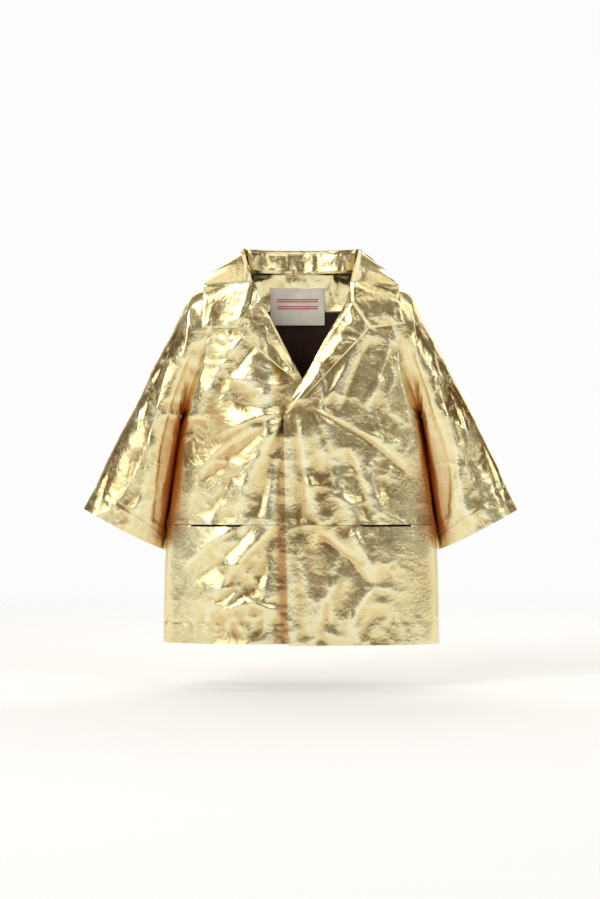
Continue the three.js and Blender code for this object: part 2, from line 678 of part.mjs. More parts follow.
// ---- Snaps ---------------------------------------------------------------------------------------------------
// Each pair is a ring-shaped socket on the left facing and a stud on the right front.
function snaps() {
  for (let i = 0; i < SNAP.count; i++) {
    const z = breakZ + SNAP.aboveBreak - i * SNAP.pitch - (i > 0 ? SNAP.step : 0);
    const { point, normal } = bodySurfacePoint(i === 0 ? SNAP.topX : SNAP.x, z);
    const at = (depth) => point.clone().addScaledVector(normal, -depth);
    const turn = new THREE.Quaternion().setFromUnitVectors(new THREE.Vector3(0, 1, 0), normal);
    const socketDepth = i === 0 ? CLOTH + 0.5 : 2 * CLOTH + SEAM + 0.4;
    const { radius, hole, post } = SNAP;
    const rim = radius - 0.5;
    const socket = [[hole, 0], [radius, 0], [radius, -1.6], [hole, -1.6], [hole, 0]];
    const stud = [[0, 0], [rim, 0], [rim, 1.1], [post, 1.1], [post, 2.3], [0, 2.3]];
    for (const [kind, profile, depth] of [["socket", socket, socketDepth], ["stud", stud, UNDERLAP_DEPTH - 0.5]]) {
      const geometry = new THREE.LatheGeometry(profile.map(([r, h]) => new THREE.Vector2(r, h)), 12);
      const solid = closedSolid(geometry);
      solid.applyQuaternion(turn);
      const mesh = addMesh("snap_" + kind + "_" + (i + 1), solid, "snap");
      mesh.position.copy(at(depth));
    }
  }
}

// The geometry with its shared vertices joined and its collapsed faces dropped, facing out.
function closedSolid(geometry) {
  const keys = new Map();
  const positions = [];
  const source = geometry.getAttribute("position");
  const ids = [];
  for (let i = 0; i < source.count; i++) {
    const p = [source.getX(i), source.getY(i), source.getZ(i)];
    const key = p.map((c) => Math.round(c * 1e4)).join();
    if (!keys.has(key)) {
      keys.set(key, positions.length / 3);
      positions.push(...p);
    }
    ids.push(keys.get(key));
  }
  const index = [];
  for (let i = 0; i < geometry.index.count; i += 3) {
    const [a, b, c] = [0, 1, 2].map((k) => ids[geometry.index.getX(i + k)]);
    if (a !== b && b !== c && c !== a) {
      index.push(a, b, c);
    }
  }
  return closedGeometry(positions, index);
}

fronts();
flaps();
back();
frontInsides();
sleeves();
pocketBag("left_pocket_bag", 1);
pocketBag("right_pocket_bag", -1);
collar();
reverses();
snaps();

export default coat;
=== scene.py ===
"""A child's short coat in crinkled gold foil-coated cloth, built round its CAD frame.

Metres, +Z up, front towards -Y. "left" and "right" are the wearer's, so the left half lies at +X.
"""

import math

import bmesh
import bpy
import numpy as np
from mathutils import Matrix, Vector


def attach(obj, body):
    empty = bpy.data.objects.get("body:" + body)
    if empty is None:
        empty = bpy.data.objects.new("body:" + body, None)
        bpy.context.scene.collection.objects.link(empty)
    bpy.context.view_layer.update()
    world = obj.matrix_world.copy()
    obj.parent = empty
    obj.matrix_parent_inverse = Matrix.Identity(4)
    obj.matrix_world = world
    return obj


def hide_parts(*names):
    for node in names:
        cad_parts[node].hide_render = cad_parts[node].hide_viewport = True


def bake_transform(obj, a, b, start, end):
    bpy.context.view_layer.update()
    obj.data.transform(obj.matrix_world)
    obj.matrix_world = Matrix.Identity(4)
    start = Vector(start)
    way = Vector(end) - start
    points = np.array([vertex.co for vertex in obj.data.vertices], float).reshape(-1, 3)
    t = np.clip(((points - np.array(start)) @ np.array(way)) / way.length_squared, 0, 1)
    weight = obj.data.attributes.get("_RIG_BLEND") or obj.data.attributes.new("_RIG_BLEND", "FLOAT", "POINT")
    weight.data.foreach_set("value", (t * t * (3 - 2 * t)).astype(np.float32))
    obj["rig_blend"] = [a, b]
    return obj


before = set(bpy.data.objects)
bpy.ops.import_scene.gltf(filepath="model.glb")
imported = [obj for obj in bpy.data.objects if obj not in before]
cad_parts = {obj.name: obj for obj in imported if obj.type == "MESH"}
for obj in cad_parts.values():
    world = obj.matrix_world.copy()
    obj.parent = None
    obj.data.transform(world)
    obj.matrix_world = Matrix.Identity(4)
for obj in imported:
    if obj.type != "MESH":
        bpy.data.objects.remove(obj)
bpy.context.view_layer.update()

# ---- Sizes shared with the CAD model ----
MID_Y = -0.037
WAIST = -0.355
BREAK = -0.203
HEM = -0.521
HEM_BAND = 0.029
SHOULDER = (0.155, -0.031)
UNDERARM = (0.1687, -0.2)
ARM_DEPTH = 0.033  # half depth of a sleeve at the armhole
CUFF_DEPTH = 0.027
COLLAR_RISE = 0.033
UNDERLAP = 0.008
LABEL_X = -0.0055
CLOTH = 0.0008
COLLAR_CLOTH = CLOTH * 1.3
LINING_CLOTH = 0.0006
FRONT, BACK = -1, 1
CELL = 0.0024  # spacing of the shell's vertices
GATHER = 0.0042  # run of stitching per radian of its gathers
MM = 0.001


def smooth(x, low, high):
    t = np.clip((x - low) / (high - low), 0, 1)
    return t * t * (3 - 2 * t)


def table(*pairs):
    """Piecewise-linear value at z from (z, value) pairs that run downwards."""
    zs = np.array([p[0] for p in pairs])[::-1]
    values = np.array([p[1] for p in pairs])[::-1]
    return lambda z: np.interp(z, zs, values)


def softened(value, run=0.035):
    """The same table with its bends below the chest rounded over run."""

    def at(z):
        z = np.asarray(z, float)
        steps = (-1, -0.67, -0.33, 0, 0.33, 0.67, 1)
        spread = np.mean([value(z + run * k) for k in steps], axis=0)
        share = smooth(-z, 0.09, 0.15) * (1 - smooth(-z, 0.44, 0.48))
        return value(z) + (spread - value(z)) * share

    return at


half_width = table(
    (0, 0.076), (-0.031, 0.155), (-0.2, 0.1687), (-0.2905, 0.181), (-0.392, 0.1925), (-0.521, 0.195)
)
half_depth = table((0, 0.038), (-0.031, 0.043), (-0.2, 0.05), (-0.521, 0.052))
half_width, half_depth = softened(half_width), softened(half_depth)
raglan = table((-0.006, 0.074), (-0.095, 0.118), (-0.16, 0.152), (-0.2, 0.1685))
left_front_edge = table((-0.203, -0.025), (-0.355, -0.022), (-0.521, -0.0175))
left_roll = table((-0.008, 0.072), (-0.045, 0.062), (-0.203, -0.025))
left_fold = table((-0.203, -0.025), (-0.521, 0.095))
right_fold = table((-0.203, -0.030), (-0.521, -0.120))
right_inner = table(
    (-0.008, -0.072), (-0.020, -0.067), (-0.148, -0.001), (-0.166, 0.014), (-0.203, 0.014)
)


def right_front_edge(z):
    return np.minimum(0.018, (left_fold(z) + 0.3 * right_fold(z)) / 1.3 - 0.002)


def underlap(x):
    """How far the right front dips behind the left one at x."""
    return -UNDERLAP * smooth(x, -0.050, -0.026)


def depth(x, z):
    """Half depth of the whole coat at (x, z): the body's lens plus the sleeve head's swell."""
    w = half_width(z)
    body = half_depth(z) ** 2 * (1 - (x / w) ** 2)
    down = np.clip((SHOULDER[1] - z) / (SHOULDER[1] - UNDERARM[1]), 0, 1)
    seam = raglan(z)
    out = np.clip((np.abs(x) - seam) / np.maximum(w - seam, 0.001), 0, 1)
    return np.sqrt(np.maximum(body + ARM_DEPTH**2 * 4 * down * (1 - down) * out**2, 0))


# ---- Noise ----
def lattice(i, j, k, seed):
    """A repeatable value from -1 to 1 for each corner of the noise's grid."""
    h = (i * 374761393 + j * 668265263 + k * 1103515245 + seed * 362437) & 0xFFFFFFFF
    h = ((h ^ (h >> 13)) * 1274126177) & 0xFFFFFFFF
    h = ((h ^ (h >> 16)) * 2246822519) & 0xFFFFFFFF
    return ((h >> 8) & 0xFFFF) / 32767.5 - 1


def noise(q, size, seed):
    """Smooth noise from -1 to 1 at points q, with bumps about size apart."""
    p = q / size
    cell = np.floor(p).astype(np.int64)
    f = p - cell
    f = f**3 * (f * (f * 6 - 15) + 10)
    total = 0
    for a in (0, 1):
        for b in (0, 1):
            for c in (0, 1):
                weight = (
                    (f[..., 0] if a else 1 - f[..., 0])
                    * (f[..., 1] if b else 1 - f[..., 1])
                    * (f[..., 2] if c else 1 - f[..., 2])
                )
                total = total + weight * lattice(
                    cell[..., 0] + a, cell[..., 1] + b, cell[..., 2] + c, seed
                )
    return total


def crumple(q, size, seed):
    """Sharp-ridged creases of crumpled foil, from -1 to 1."""
    warp = np.stack([noise(q, size * 1.3, seed + i) for i in (1, 2, 3)], -1) * size * 0.5
    return 1 - 2.2 * np.abs(noise(q + warp, size, seed + 4))


# ---- Folds ----
# Each fold: from (x, z) to (x, z), half width, height; millimetres. Negative heights are valleys.
FRONT_FOLDS = [
    # the fan that the top snap pulls across the wearer's right front
    (-32, -199, -112, -230, 8, 3.6),
    (-46, -212, -138, -292, 9, -3.2),
    (-34, -211, -128, -262, 8, 2.6),
    (-32, -217, -93, -348, 12, 4.4),
    (-42, -242, -66, -352, 9, -3.4),
    (-26, -245, -42, -352, 7, 2.4),
    (-40, -195, -105, -180, 8, -2.6),
    (-45, -178, -120, -140, 10, 2.4),
    (-62, -100, -118, -165, 11, -2.8),
    (-78, -90, -150, -222, 13, 3.2),
    (-118, -250, -160, -340, 14, 2.2),
    (-100, -290, -135, -345, 9, -2.2),
    # below the waist on that side
    (-50, -366, -130, -480, 12, 4.4),
    (-40, -364, -72, -462, 11, -4.4),
    (-72, -362, -150, -436, 8, -3.0),
    (-95, -362, -164, -415, 8, 2.8),
    (-112, -476, -74, -457, 5, 3.0),
    (-74, -457, -30, -474, 5, 3.0),
    (-96, -492, -84, -523, 6, -2.0),
    # the fan from the pucker on the wearer's left front
    (20, -197, 80, -354, 13, 4.4),
    (18, -200, 42, -305, 6, -3.8),
    (23, -197, 152, -288, 8, -3.8),
    (26, -193, 128, -240, 8, 2.6),
    (66, -256, 92, -352, 6, -3.6),
    (2, -214, 30, -352, 9, 3.0),
    (-8, -232, -2, -352, 6, -2.6),
    (96, -270, 120, -352, 10, 2.4),
    (30, -184, 76, -98, 9, 2.6),
    (58, -192, 104, -90, 9, -2.8),
    (92, -184, 126, -84, 9, 2.8),
    (110, -150, 140, -95, 7, -2.2),
    # below the waist on that side
    (28, -372, 98, -442, 11, -4.0),
    (98, -442, 62, -505, 9, 3.2),
    (48, -432, 18, -505, 10, 3.6),
    (74, -362, 104, -420, 9, 3.2),
    (58, -398, 90, -414, 7, -3.2),
    (34, -462, 26, -523, 6, -2.6),
    (72, -478, 82, -523, 6, 2.2),
    (0, -372, 8, -440, 7, 2.2),
]
SLEEVE_FOLDS = [
    (128, -52, 206, -330, 11, 3.0),
    (160, -120, 203, -378, 9, -4.6),
    (172, -70, 246, -362, 9, -3.0),
    (186, -85, 262, -352, 8, 2.6),
    (206, -150, 284, -345, 7, -2.4),
    (212, -230, 240, -366, 6, 2.4),
    (120, -66, 158, -180, 8, -2.4),
    (228, -190, 236, -262, 6, 2.0),
]
BACK_FOLDS = [
    (-60, -70, -96, -505, 14, 3.4),
    (-28, -90, -44, -515, 11, -3.2),
    (6, -80, -6, -515, 13, 3.0),
    (46, -84, 40, -510, 11, -3.0),
    (70, -75, 104, -500, 13, 3.4),
    (-112, -170, -140, -515, 12, -3.0),
    (118, -180, 146, -515, 12, -2.6),
    (-84, -250, -60, -420, 9, 2.2),
    (84, -280, 66, -430, 9, 2.2),
]


def folds_at(x, z, folds):
    """Summed height of the folds at (x, z). Each bows, is steep on one side and widens as it runs."""
    total = np.zeros_like(x)
    for x0, z0, x1, z1, width, height in folds:
        a = np.array((x0, z0)) * MM
        d = np.array((x1, z1)) * MM - a
        length = np.hypot(*d)
        along = ((x - a[0]) * d[0] + (z - a[1]) * d[1]) / length**2
        across = ((x - a[0]) * d[1] - (z - a[1]) * d[0]) / length
        run = np.clip(along, 0, 1)
        bow = across - 0.05 * length * np.sin(np.pi * run) * np.sign(height)
        w = width * MM * (0.4 + 0.6 * run) * np.where(bow > 0, 2.6, 1.0)
        crest = np.exp(-(np.sqrt((bow / w) ** 2 + 0.02) - 0.1414))
        ends = smooth(along, -0.12, 0.14) * (1 - smooth(along, 0.72, 1.12))
        total += height * MM * crest * ends
    return total


def under_x(z):
    """Distance from the centre of the sleeve's underside."""
    return np.interp(z, (-0.392, -0.2), (0.197, 0.170))


def height_at(q):
    """How far the cloth stands off its smooth form at points q of that form."""
    x, y, z = q[..., 0], q[..., 1], q[..., 2]
    front = smooth(MID_Y - y, -0.004, 0.02)
    behind = smooth(y - MID_Y, -0.004, 0.02)
    sleeve_side = smooth(np.abs(x), 0.168, 0.178)
    h = front * (1 - 0.6 * sleeve_side) * folds_at(x, z, FRONT_FOLDS)
    h += 0.6 * behind * folds_at(x + 0.012 * noise(q, 0.11, 61), z, BACK_FOLDS)
    both = front + 0.7 * behind
    wide = np.abs(x)
    shaken = wide + 0.006 * noise(q, 0.09, 71) * np.sign(x)
    h += both * folds_at(shaken, z, SLEEVE_FOLDS) * smooth(wide, 0.108, 0.14)
    crisp = 0.55 + 0.45 * noise(q, 0.07, 5)
    # the body's sides below the arms hang smoother
    side = smooth(wide, 0.115, 0.15) * (1 - smooth(wide, 0.19, 0.2))
    calm = 1 - 0.75 * side * smooth(-z, 0.24, 0.3)
    h += 0.0026 * noise(q, 0.1, 11)
    h += 0.0014 * crumple(q, 0.062, 21) * calm
    h += 0.0009 * crumple(q, 0.028, 31) * (0.5 + 0.5 * crisp) * calm
    h += 0.0004 * crumple(q, 0.0125, 41) * crisp * calm
    # flat where a sleeve's underside lies against the body
    near_mid = 1 - smooth(np.abs(y - MID_Y), 0.004, 0.022)
    inner = 1 - smooth(wide, under_x(z) + 0.006, under_x(z) + 0.02)
    return h * (1 - near_mid * inner * smooth(-z, 0.14, 0.19))


# ---- Mesh building ----
def add_object(name, vertices, faces):
    mesh = bpy.data.meshes.new(name)
    mesh.from_pydata(vertices.tolist(), [], faces)
    mesh.update()
    obj = bpy.data.objects.new(name, mesh)
    bpy.context.scene.collection.objects.link(obj)
    mesh.shade_smooth()
    return obj


def painted_nook_shade_at(p):
    """Painted shade at p: how far the foil's colour is turned coppery dark in the hollow between sleeve and
    body, and beside the front edge.
    """
    x, y, z = np.abs(p[:, 0]), p[:, 1], p[:, 2]
    high, low = smooth(-z, 0.06, 0.2), 1 - smooth(-z, 0.36, 0.4)
    inner = 1 - smooth(x, under_x(z) + 0.004, under_x(z) + 0.03)
    sunk = 1 - smooth(np.abs(y - MID_Y), 0.012, 0.032)
    between = 0.9 * high * low * inner * sunk * smooth(x, 0.135, 0.16)
    # and painted shade on the strip of the right front that shows beside the left front's edge
    short = left_front_edge(z) - p[:, 0]
    strip = smooth(MID_Y - y, 0.02, 0.03) * smooth(short, -0.001, 0.002) * (1 - smooth(short, 0.009, 0.014))
    return between + strip * (0.3 * smooth(-z, 0.21, 0.24) + 0.45 * smooth(-z, 0.35, 0.37))


def store(obj, rest, painted_crease_shade=None):
    """Keeps each vertex's place at rest, so that materials don't slide in a pose, and the painted shade of
    its hollows and creases.
    """
    painted_crease_shade = np.full(len(rest), 0.5) if painted_crease_shade is None else painted_crease_shade
    for name, kind, key, value in (
        ("painted_nook_shade", "FLOAT", "value", painted_nook_shade_at(np.asarray(rest, float))),
        ("rest_place", "FLOAT_VECTOR", "vector", rest),
        ("painted_crease_shade", "FLOAT", "value", painted_crease_shade),
    ):
        attribute = obj.data.attributes.new(name, kind, "POINT")
        attribute.data.foreach_set(key, np.asarray(value, np.float32).ravel())


def grid_normals(points, outward):
    """Unit normals of a grid of points, on the side of outward."""
    du = np.gradient(points, axis=1)
    dv = np.gradient(points, axis=0)
    n = np.cross(du, dv)
    n /= np.maximum(np.linalg.norm(n, axis=-1, keepdims=True), 1e-12)
    middle = tuple(s // 2 for s in n.shape[:2])
    if np.dot(n[middle], outward) < 0:
        n = -n
    return n


def thin_solid(name, outer, inner, painted_crease_shade=None):
    """A closed thin solid between two grids of points."""
    rows, cols = outer.shape[:2]
    ids = np.arange(rows * cols).reshape(rows, cols)
    back = ids + rows * cols
    a, b, c, d = ids[:-1, :-1], ids[:-1, 1:], ids[1:, 1:], ids[1:, :-1]
    faces = np.stack([a, b, c, d], -1).reshape(-1, 4).tolist()
    a, b, c, d = back[:-1, :-1], back[1:, :-1], back[1:, 1:], back[:-1, 1:]
    faces += np.stack([a, b, c, d], -1).reshape(-1, 4).tolist()
    walls = (
        (ids[0], back[0], False),
        (ids[-1], back[-1], True),
        (ids[:, 0], back[:, 0], True),
        (ids[:, -1], back[:, -1], False),
    )
    rims = []
    for near, far, turned in walls:
        quads = np.stack([near[:-1], far[:-1], far[1:], near[1:]], -1)
        faces += (quads[:, ::-1] if turned else quads).tolist()
        for line in (near.tolist(), far.tolist()):
            rims += [frozenset(e) for e in zip(line[:-1], line[1:])]
    points = np.concatenate([outer.reshape(-1, 3), inner.reshape(-1, 3)])
    obj = add_object(name, points, faces)
    twice = None if painted_crease_shade is None else np.concatenate([painted_crease_shade.ravel(), 1 - painted_crease_shade.ravel()])
    store(obj, points, twice)
    fix_winding(obj)
    rims = set(rims)
    for edge in obj.data.edges:
        if frozenset(edge.vertices) in rims:
            edge.use_edge_sharp = True
    return obj


def fix_winding(obj):
    bm = bmesh.new()
    bm.from_mesh(obj.data)
    bmesh.ops.recalc_face_normals(bm, faces=bm.faces)
    bm.to_mesh(obj.data)
    bm.free()


def creases(height):
    """0 in the valleys and 1 on the ridges of a grid of heights; the foil's colour reads it as painted
    shade, darker in the valleys.
    """
    bend = -sum(np.gradient(np.gradient(height, axis=k), axis=k) for k in (0, 1))
    for _ in range(2):
        around = bend[:-2, 1:-1] + bend[2:, 1:-1] + bend[1:-1, :-2] + bend[1:-1, 2:]
        bend[1:-1, 1:-1] = (bend[1:-1, 1:-1] * 2 + around) / 6
    return np.clip(0.5 + bend * 2600, 0, 1)


def shell(name, base, outward, extra):
    """A sheet of folded foil over the grid base, raised by extra, with its outer points and normals."""
    n = grid_normals(base, outward)
    h = height_at(base) + extra
    outer = base + n * h[..., None]
    obj = thin_solid(name, outer, outer - n * CLOTH, creases(h))
    dress(obj, "shell")
    return obj, outer, n


def dress(obj, finish):
    obj.data.materials.clear()
    obj.data.materials.append(MATERIALS[finish])


# ---- Materials ----
class Graph:
    """A node tree with short calls for the nodes used here. Each call gives its node's output."""

    def __init__(self, tree):
        self.nodes, self.links = tree.nodes, tree.links

    def attribute(self, name, output="Fac"):
        node = self.nodes.new("ShaderNodeAttribute")
        node.attribute_name = name
        return node.outputs[output]

    def noise(self, vector, scale, detail=3.0, roughness=0.5, distortion=0.0, kind="FBM"):
        node = self.nodes.new("ShaderNodeTexNoise")
        node.noise_type = kind
        node.inputs["Scale"].default_value = scale
        node.inputs["Detail"].default_value = detail
        node.inputs["Roughness"].default_value = roughness
        node.inputs["Distortion"].default_value = distortion
        self.links.new(vector, node.inputs["Vector"])
        return node.outputs["Fac"]

    def math(self, operation, a, b=0.5):
        node = self.nodes.new("ShaderNodeMath")
        node.operation = operation
        for socket, value in zip(node.inputs, (a, b)):
            if isinstance(value, (int, float)):
                socket.default_value = value
            else:
                self.links.new(value, socket)
        return node.outputs[0]

    def wave(self, value, per_metre):
        """A sine of the given number of waves per metre."""
        return self.math("SINE", self.math("MULTIPLY", value, per_metre * math.tau))

    def ramp(self, factor, stops):
        node = self.nodes.new("ShaderNodeValToRGB")
        elements = node.color_ramp.elements
        while len(elements) < len(stops):
            elements.new(0.5)
        for element, (position, color) in zip(elements, stops):
            element.position = position
            element.color = (*color, 1)
        self.links.new(factor, node.inputs["Fac"])
        return node.outputs["Color"]

    def step(self, value, low, high):
        """Smooth step of value from 0 at low to 1 at high."""
        node = self.nodes.new("ShaderNodeMapRange")
        node.interpolation_type = "SMOOTHSTEP"
        self.links.new(value, node.inputs["Value"])
        node.inputs["From Min"].default_value = low
        node.inputs["From Max"].default_value = high
        return node.outputs["Result"]

    def bump(self, height, distance, strength, under=None):
        node = self.nodes.new("ShaderNodeBump")
        node.inputs["Strength"].default_value = strength
        node.inputs["Distance"].default_value = distance
        self.links.new(height, node.inputs["Height"])
        if under is not None:
            self.links.new(under, node.inputs["Normal"])
        return node.outputs["Normal"]

    def lay(self, under, factor, color):
        """The plain color laid over under, a colour or an output, by factor."""
        node = self.nodes.new("ShaderNodeMix")
        node.data_type = "RGBA"
        self.links.new(factor, node.inputs["Factor"])
        if isinstance(under, tuple):
            node.inputs["A"].default_value = (*under, 1)
        else:
            self.links.new(under, node.inputs["A"])
        node.inputs["B"].default_value = (*color, 1)
        return node.outputs["Result"]

    def split(self, vector):
        node = self.nodes.new("ShaderNodeSeparateXYZ")
        self.links.new(vector, node.inputs[0])
        return node.outputs


def new_material(name):
    material = bpy.data.materials.new(name)
    material.use_nodes = True
    return material, Graph(material.node_tree), material.node_tree.nodes["Principled BSDF"]


def facets(g, place):
    """Flat facets of crumpled foil: 0 at their edges, in cells shaken out of line."""
    shake = g.nodes.new("ShaderNodeTexNoise")
    shake.inputs["Scale"].default_value = 60
    g.links.new(place, shake.inputs["Vector"])
    warped = g.nodes.new("ShaderNodeVectorMath")
    warped.operation = "MULTIPLY_ADD"
    g.links.new(shake.outputs["Color"], warped.inputs[0])
    warped.inputs[1].default_value = (0.012, 0.012, 0.012)
    g.links.new(place, warped.inputs[2])
    cells = g.nodes.new("ShaderNodeTexVoronoi")
    cells.feature = "DISTANCE_TO_EDGE"
    cells.inputs["Scale"].default_value = 120
    g.links.new(warped.outputs["Vector"], cells.inputs["Vector"])
    return g.math("MINIMUM", cells.outputs["Distance"], 0.35)


# Foil colours, from the coppery dark of the painted shade in the valleys to the pale gold of the ridges
FOIL_TONES = [
    (0.2, (0.66, 0.46, 0.20)),
    (0.42, (0.84, 0.71, 0.37)),
    (0.6, (0.90, 0.81, 0.48)),
    (0.85, (0.95, 0.90, 0.66)),
]
# Painted shade: the coppery dark laid over the foil in the hollow between sleeve and body and beside the
# front edge
NOOK_SHADE_COPPER = (0.50, 0.23, 0.08)


def gold_foil():
    """Foil-coated cloth: mirror-like between creases; its colour is painted shade, darker and coppery in the
    valleys and paler along the ridges.
    """
    material, g, shader = new_material("gold_foil")
    place = g.attribute("rest_place", "Vector")
    patches = g.noise(place, 9, 3, 0.55, 0.6)
    # painted shade: the colour goes darker and coppery in the valleys and paler on the ridges, with random
    # patches
    tone = g.math("MULTIPLY", g.attribute("painted_crease_shade"), 0.36)
    tone = g.math("ADD", tone, g.math("MULTIPLY", patches, 0.64))
    # painted shade: the hollow between sleeve and body and the strip beside the front edge are turned
    # coppery dark
    color = g.lay(g.ramp(tone, FOIL_TONES), g.attribute("painted_nook_shade"), NOOK_SHADE_COPPER)
    g.links.new(color, shader.inputs["Base Color"])
    shader.inputs["Metallic"].default_value = 1.0
    rough = g.math("ADD", g.math("MULTIPLY", patches, 0.16), 0.15)
    g.links.new(rough, shader.inputs["Roughness"])
    shader.inputs["Coat Weight"].default_value = 0.2
    shader.inputs["Coat Roughness"].default_value = 0.12
    normal = g.bump(facets(g, place), 0.0009, 0.42)
    fine = g.noise(place, 70, 3, 0.5, 0.2, "RIDGED_MULTIFRACTAL")
    normal = g.bump(fine, 0.0004, 0.28, normal)
    grain = g.noise(place, 1500, 2, 0.5)
    normal = g.bump(grain, 0.00012, 0.6, normal)
    g.links.new(normal, shader.inputs["Normal"])
    return material


def woven_lining():
    """Dark brown plain-woven cloth."""
    threads = 1400  # per metre
    material, g, shader = new_material("brown_lining")
    place = g.attribute("rest_place", "Vector")
    x, _, z = g.split(place)
    woven = g.math("MULTIPLY", g.wave(x, threads), g.wave(z, threads))
    slubs = g.noise(place, 90, 4, 0.6)
    blotch = g.noise(place, 9, 3, 0.5)
    tone = g.math("ADD", g.math("MULTIPLY", slubs, 0.5), g.math("MULTIPLY", blotch, 0.5))
    color = g.ramp(tone, [(0.3, (0.022, 0.0085, 0.0055)), (0.7, (0.050, 0.022, 0.014))])
    g.links.new(color, shader.inputs["Base Color"])
    shader.inputs["Roughness"].default_value = 0.5
    shader.inputs["Specular IOR Level"].default_value = 0.15
    shader.inputs["Sheen Weight"].default_value = 0.02
    shader.inputs["Sheen Roughness"].default_value = 0.4
    normal = g.bump(slubs, 0.0004, 0.5, g.bump(woven, 0.00008, 0.7))
    g.links.new(normal, shader.inputs["Normal"])
    return material


STRIPE_HEIGHTS = (-0.0365, -0.0395, -0.0465, -0.0495)
STRIPE_HALF = 0.0009
STRIPE_REACH = 0.029
STRIPE_RED = (0.62, 0.07, 0.06)


def label_cloth():
    """Cream satin label with a few woven red stripes."""
    material, g, shader = new_material("label_cloth")
    place = g.attribute("rest_place", "Vector")
    x, _, z = g.split(place)
    stripe = None
    for height in STRIPE_HEIGHTS:
        near = g.math("ABSOLUTE", g.math("SUBTRACT", z, height))
        line = g.math("LESS_THAN", near, STRIPE_HALF)
        stripe = line if stripe is None else g.math("MAXIMUM", stripe, line)
    from_middle = g.math("ABSOLUTE", g.math("SUBTRACT", x, LABEL_X))
    stripe = g.math("MULTIPLY", stripe, g.math("LESS_THAN", from_middle, STRIPE_REACH))
    cream = g.ramp(g.noise(place, 60, 3), [(0.3, (0.86, 0.78, 0.68)), (0.7, (0.94, 0.87, 0.77))])
    g.links.new(g.lay(cream, stripe, STRIPE_RED), shader.inputs["Base Color"])
    shader.inputs["Roughness"].default_value = 0.55
    shader.inputs["Sheen Weight"].default_value = 0.25
    g.links.new(g.bump(g.wave(z, 2600), 0.00006, 0.5), shader.inputs["Normal"])
    return material


def brushed_brass():
    material, g, shader = new_material("brushed_brass")
    place = g.nodes.new("ShaderNodeTexCoord").outputs["Object"]
    scuffs = g.noise(place, 900, 5, 0.6)
    color = g.ramp(scuffs, [(0.3, (0.45, 0.29, 0.11)), (0.7, (0.78, 0.58, 0.27))])
    g.links.new(color, shader.inputs["Base Color"])
    shader.inputs["Metallic"].default_value = 1.0
    rough = g.math("ADD", g.math("MULTIPLY", scuffs, 0.2), 0.22)
    g.links.new(rough, shader.inputs["Roughness"])
    g.links.new(g.bump(scuffs, 0.0001, 0.4), shader.inputs["Normal"])
    return material


def gold_thread():
    material, g, shader = new_material("gold_thread")
    twist = g.nodes.new("ShaderNodeTexWave")
    twist.inputs["Scale"].default_value = 900
    twist.inputs["Distortion"].default_value = 2
    g.links.new(g.attribute("rest_place", "Vector"), twist.inputs["Vector"])
    turns = twist.outputs["Fac"]
    color = g.ramp(turns, [(0.2, (0.34, 0.24, 0.10)), (0.8, (0.62, 0.48, 0.24))])
    g.links.new(color, shader.inputs["Base Color"])
    shader.inputs["Roughness"].default_value = 0.5
    shader.inputs["Sheen Weight"].default_value = 0.3
    g.links.new(g.bump(turns, 0.0001, 0.6), shader.inputs["Normal"])
    return material


MATERIALS = {
    "shell": gold_foil(),
    "lining": woven_lining(),
    "label": label_cloth(),
    "snap": brushed_brass(),
    "thread": gold_thread(),
}


# ---- Body panels ----
def body_grid(face, top, bottom, x0, x1):
    """A grid over the front or back, between the heights top(share across) and bottom(share across) and the
    edges x0(z) and x1(z)."""
    middle = (np.mean(top(0.5)) + np.mean(bottom(0.5))) / 2
    wide = abs(float(x1(middle)) - float(x0(middle)))
    cols = max(6, int(wide * 1.12 / CELL))
    rows = max(4, int((float(top(0.5)) - float(bottom(0.5))) / CELL))
    u = np.linspace(0, 1, cols)[None, :]
    v = np.linspace(0, 1, rows)[:, None]
    z = top(u) + (bottom(u) - top(u)) * v
    w = half_width(z)
    start = np.arccos(np.clip(x0(z) / w, -1, 1))
    end = np.arccos(np.clip(x1(z) / w, -1, 1))
    a = start + (end - start) * u
    return np.stack([w * np.cos(a), MID_Y + face * half_depth(z) * np.sin(a), z], -1)


def level(z):
    return lambda u: z + 0 * np.asarray(u, float)


def side_edge(z):
    return np.where(z > UNDERARM[1], raglan(z), half_width(z) * 0.99995)


def minus_side_edge(z):
    return -side_edge(z)


HEM_LINE = HEM + HEM_BAND  # height of the hem's stitching


def hem_stitching(q):
    """The groove of the hem's stitching and the gathers along it."""
    groove = -0.0006 * np.exp(-(((q[..., 2] - HEM_LINE) / 0.0011) ** 2))
    return groove + pucker(q, HEM_LINE)


def waist_gathers(q):
    return pucker(q, WAIST, 0.008, 0.0003)


FOLD_RUN = 0.026  # how far past its fold line a front takes to follow its turn fully


def bend_left(obj):
    """The left front turns about its fold below the break."""
    blend_past(obj, "left_flap", (-0.025, BREAK), (0.095, HEM), 1)


def bend_right(obj):
    blend_past(obj, "right_flap", (-0.030, BREAK), (-0.120, HEM), -1)


def blend_past(obj, body, top, bottom, side):
    down = np.array(bottom) - np.array(top)
    across = np.array((down[1], -down[0])) / np.hypot(*down) * side
    end = np.array(top) + across * FOLD_RUN
    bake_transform(obj, "root", body, start=(top[0], MID_Y, top[1]), end=(end[0], MID_Y, end[1]))


def pucker(q, line, tall=0.012, height=0.0005):
    """Small gathers that a level row of stitching pulls into the cloth above and below line."""
    waves = np.sin(q[..., 0] / GATHER + 3 * noise(q, 0.02, 91))
    return height * waves * np.exp(-(((q[..., 2] - line) / tall) ** 2))


def edge_lift(q):
    """How the left front stands off the right one along its edge."""
    past = q[..., 0] - left_front_edge(q[..., 2])
    return 0.0018 * (1 - smooth(past, 0.003, 0.02)) * smooth(-q[..., 2], 0.2, 0.24)


TOP = -0.009  # where the fronts begin under the collar
SLIT = BREAK - 0.006  # below this height the right front opens


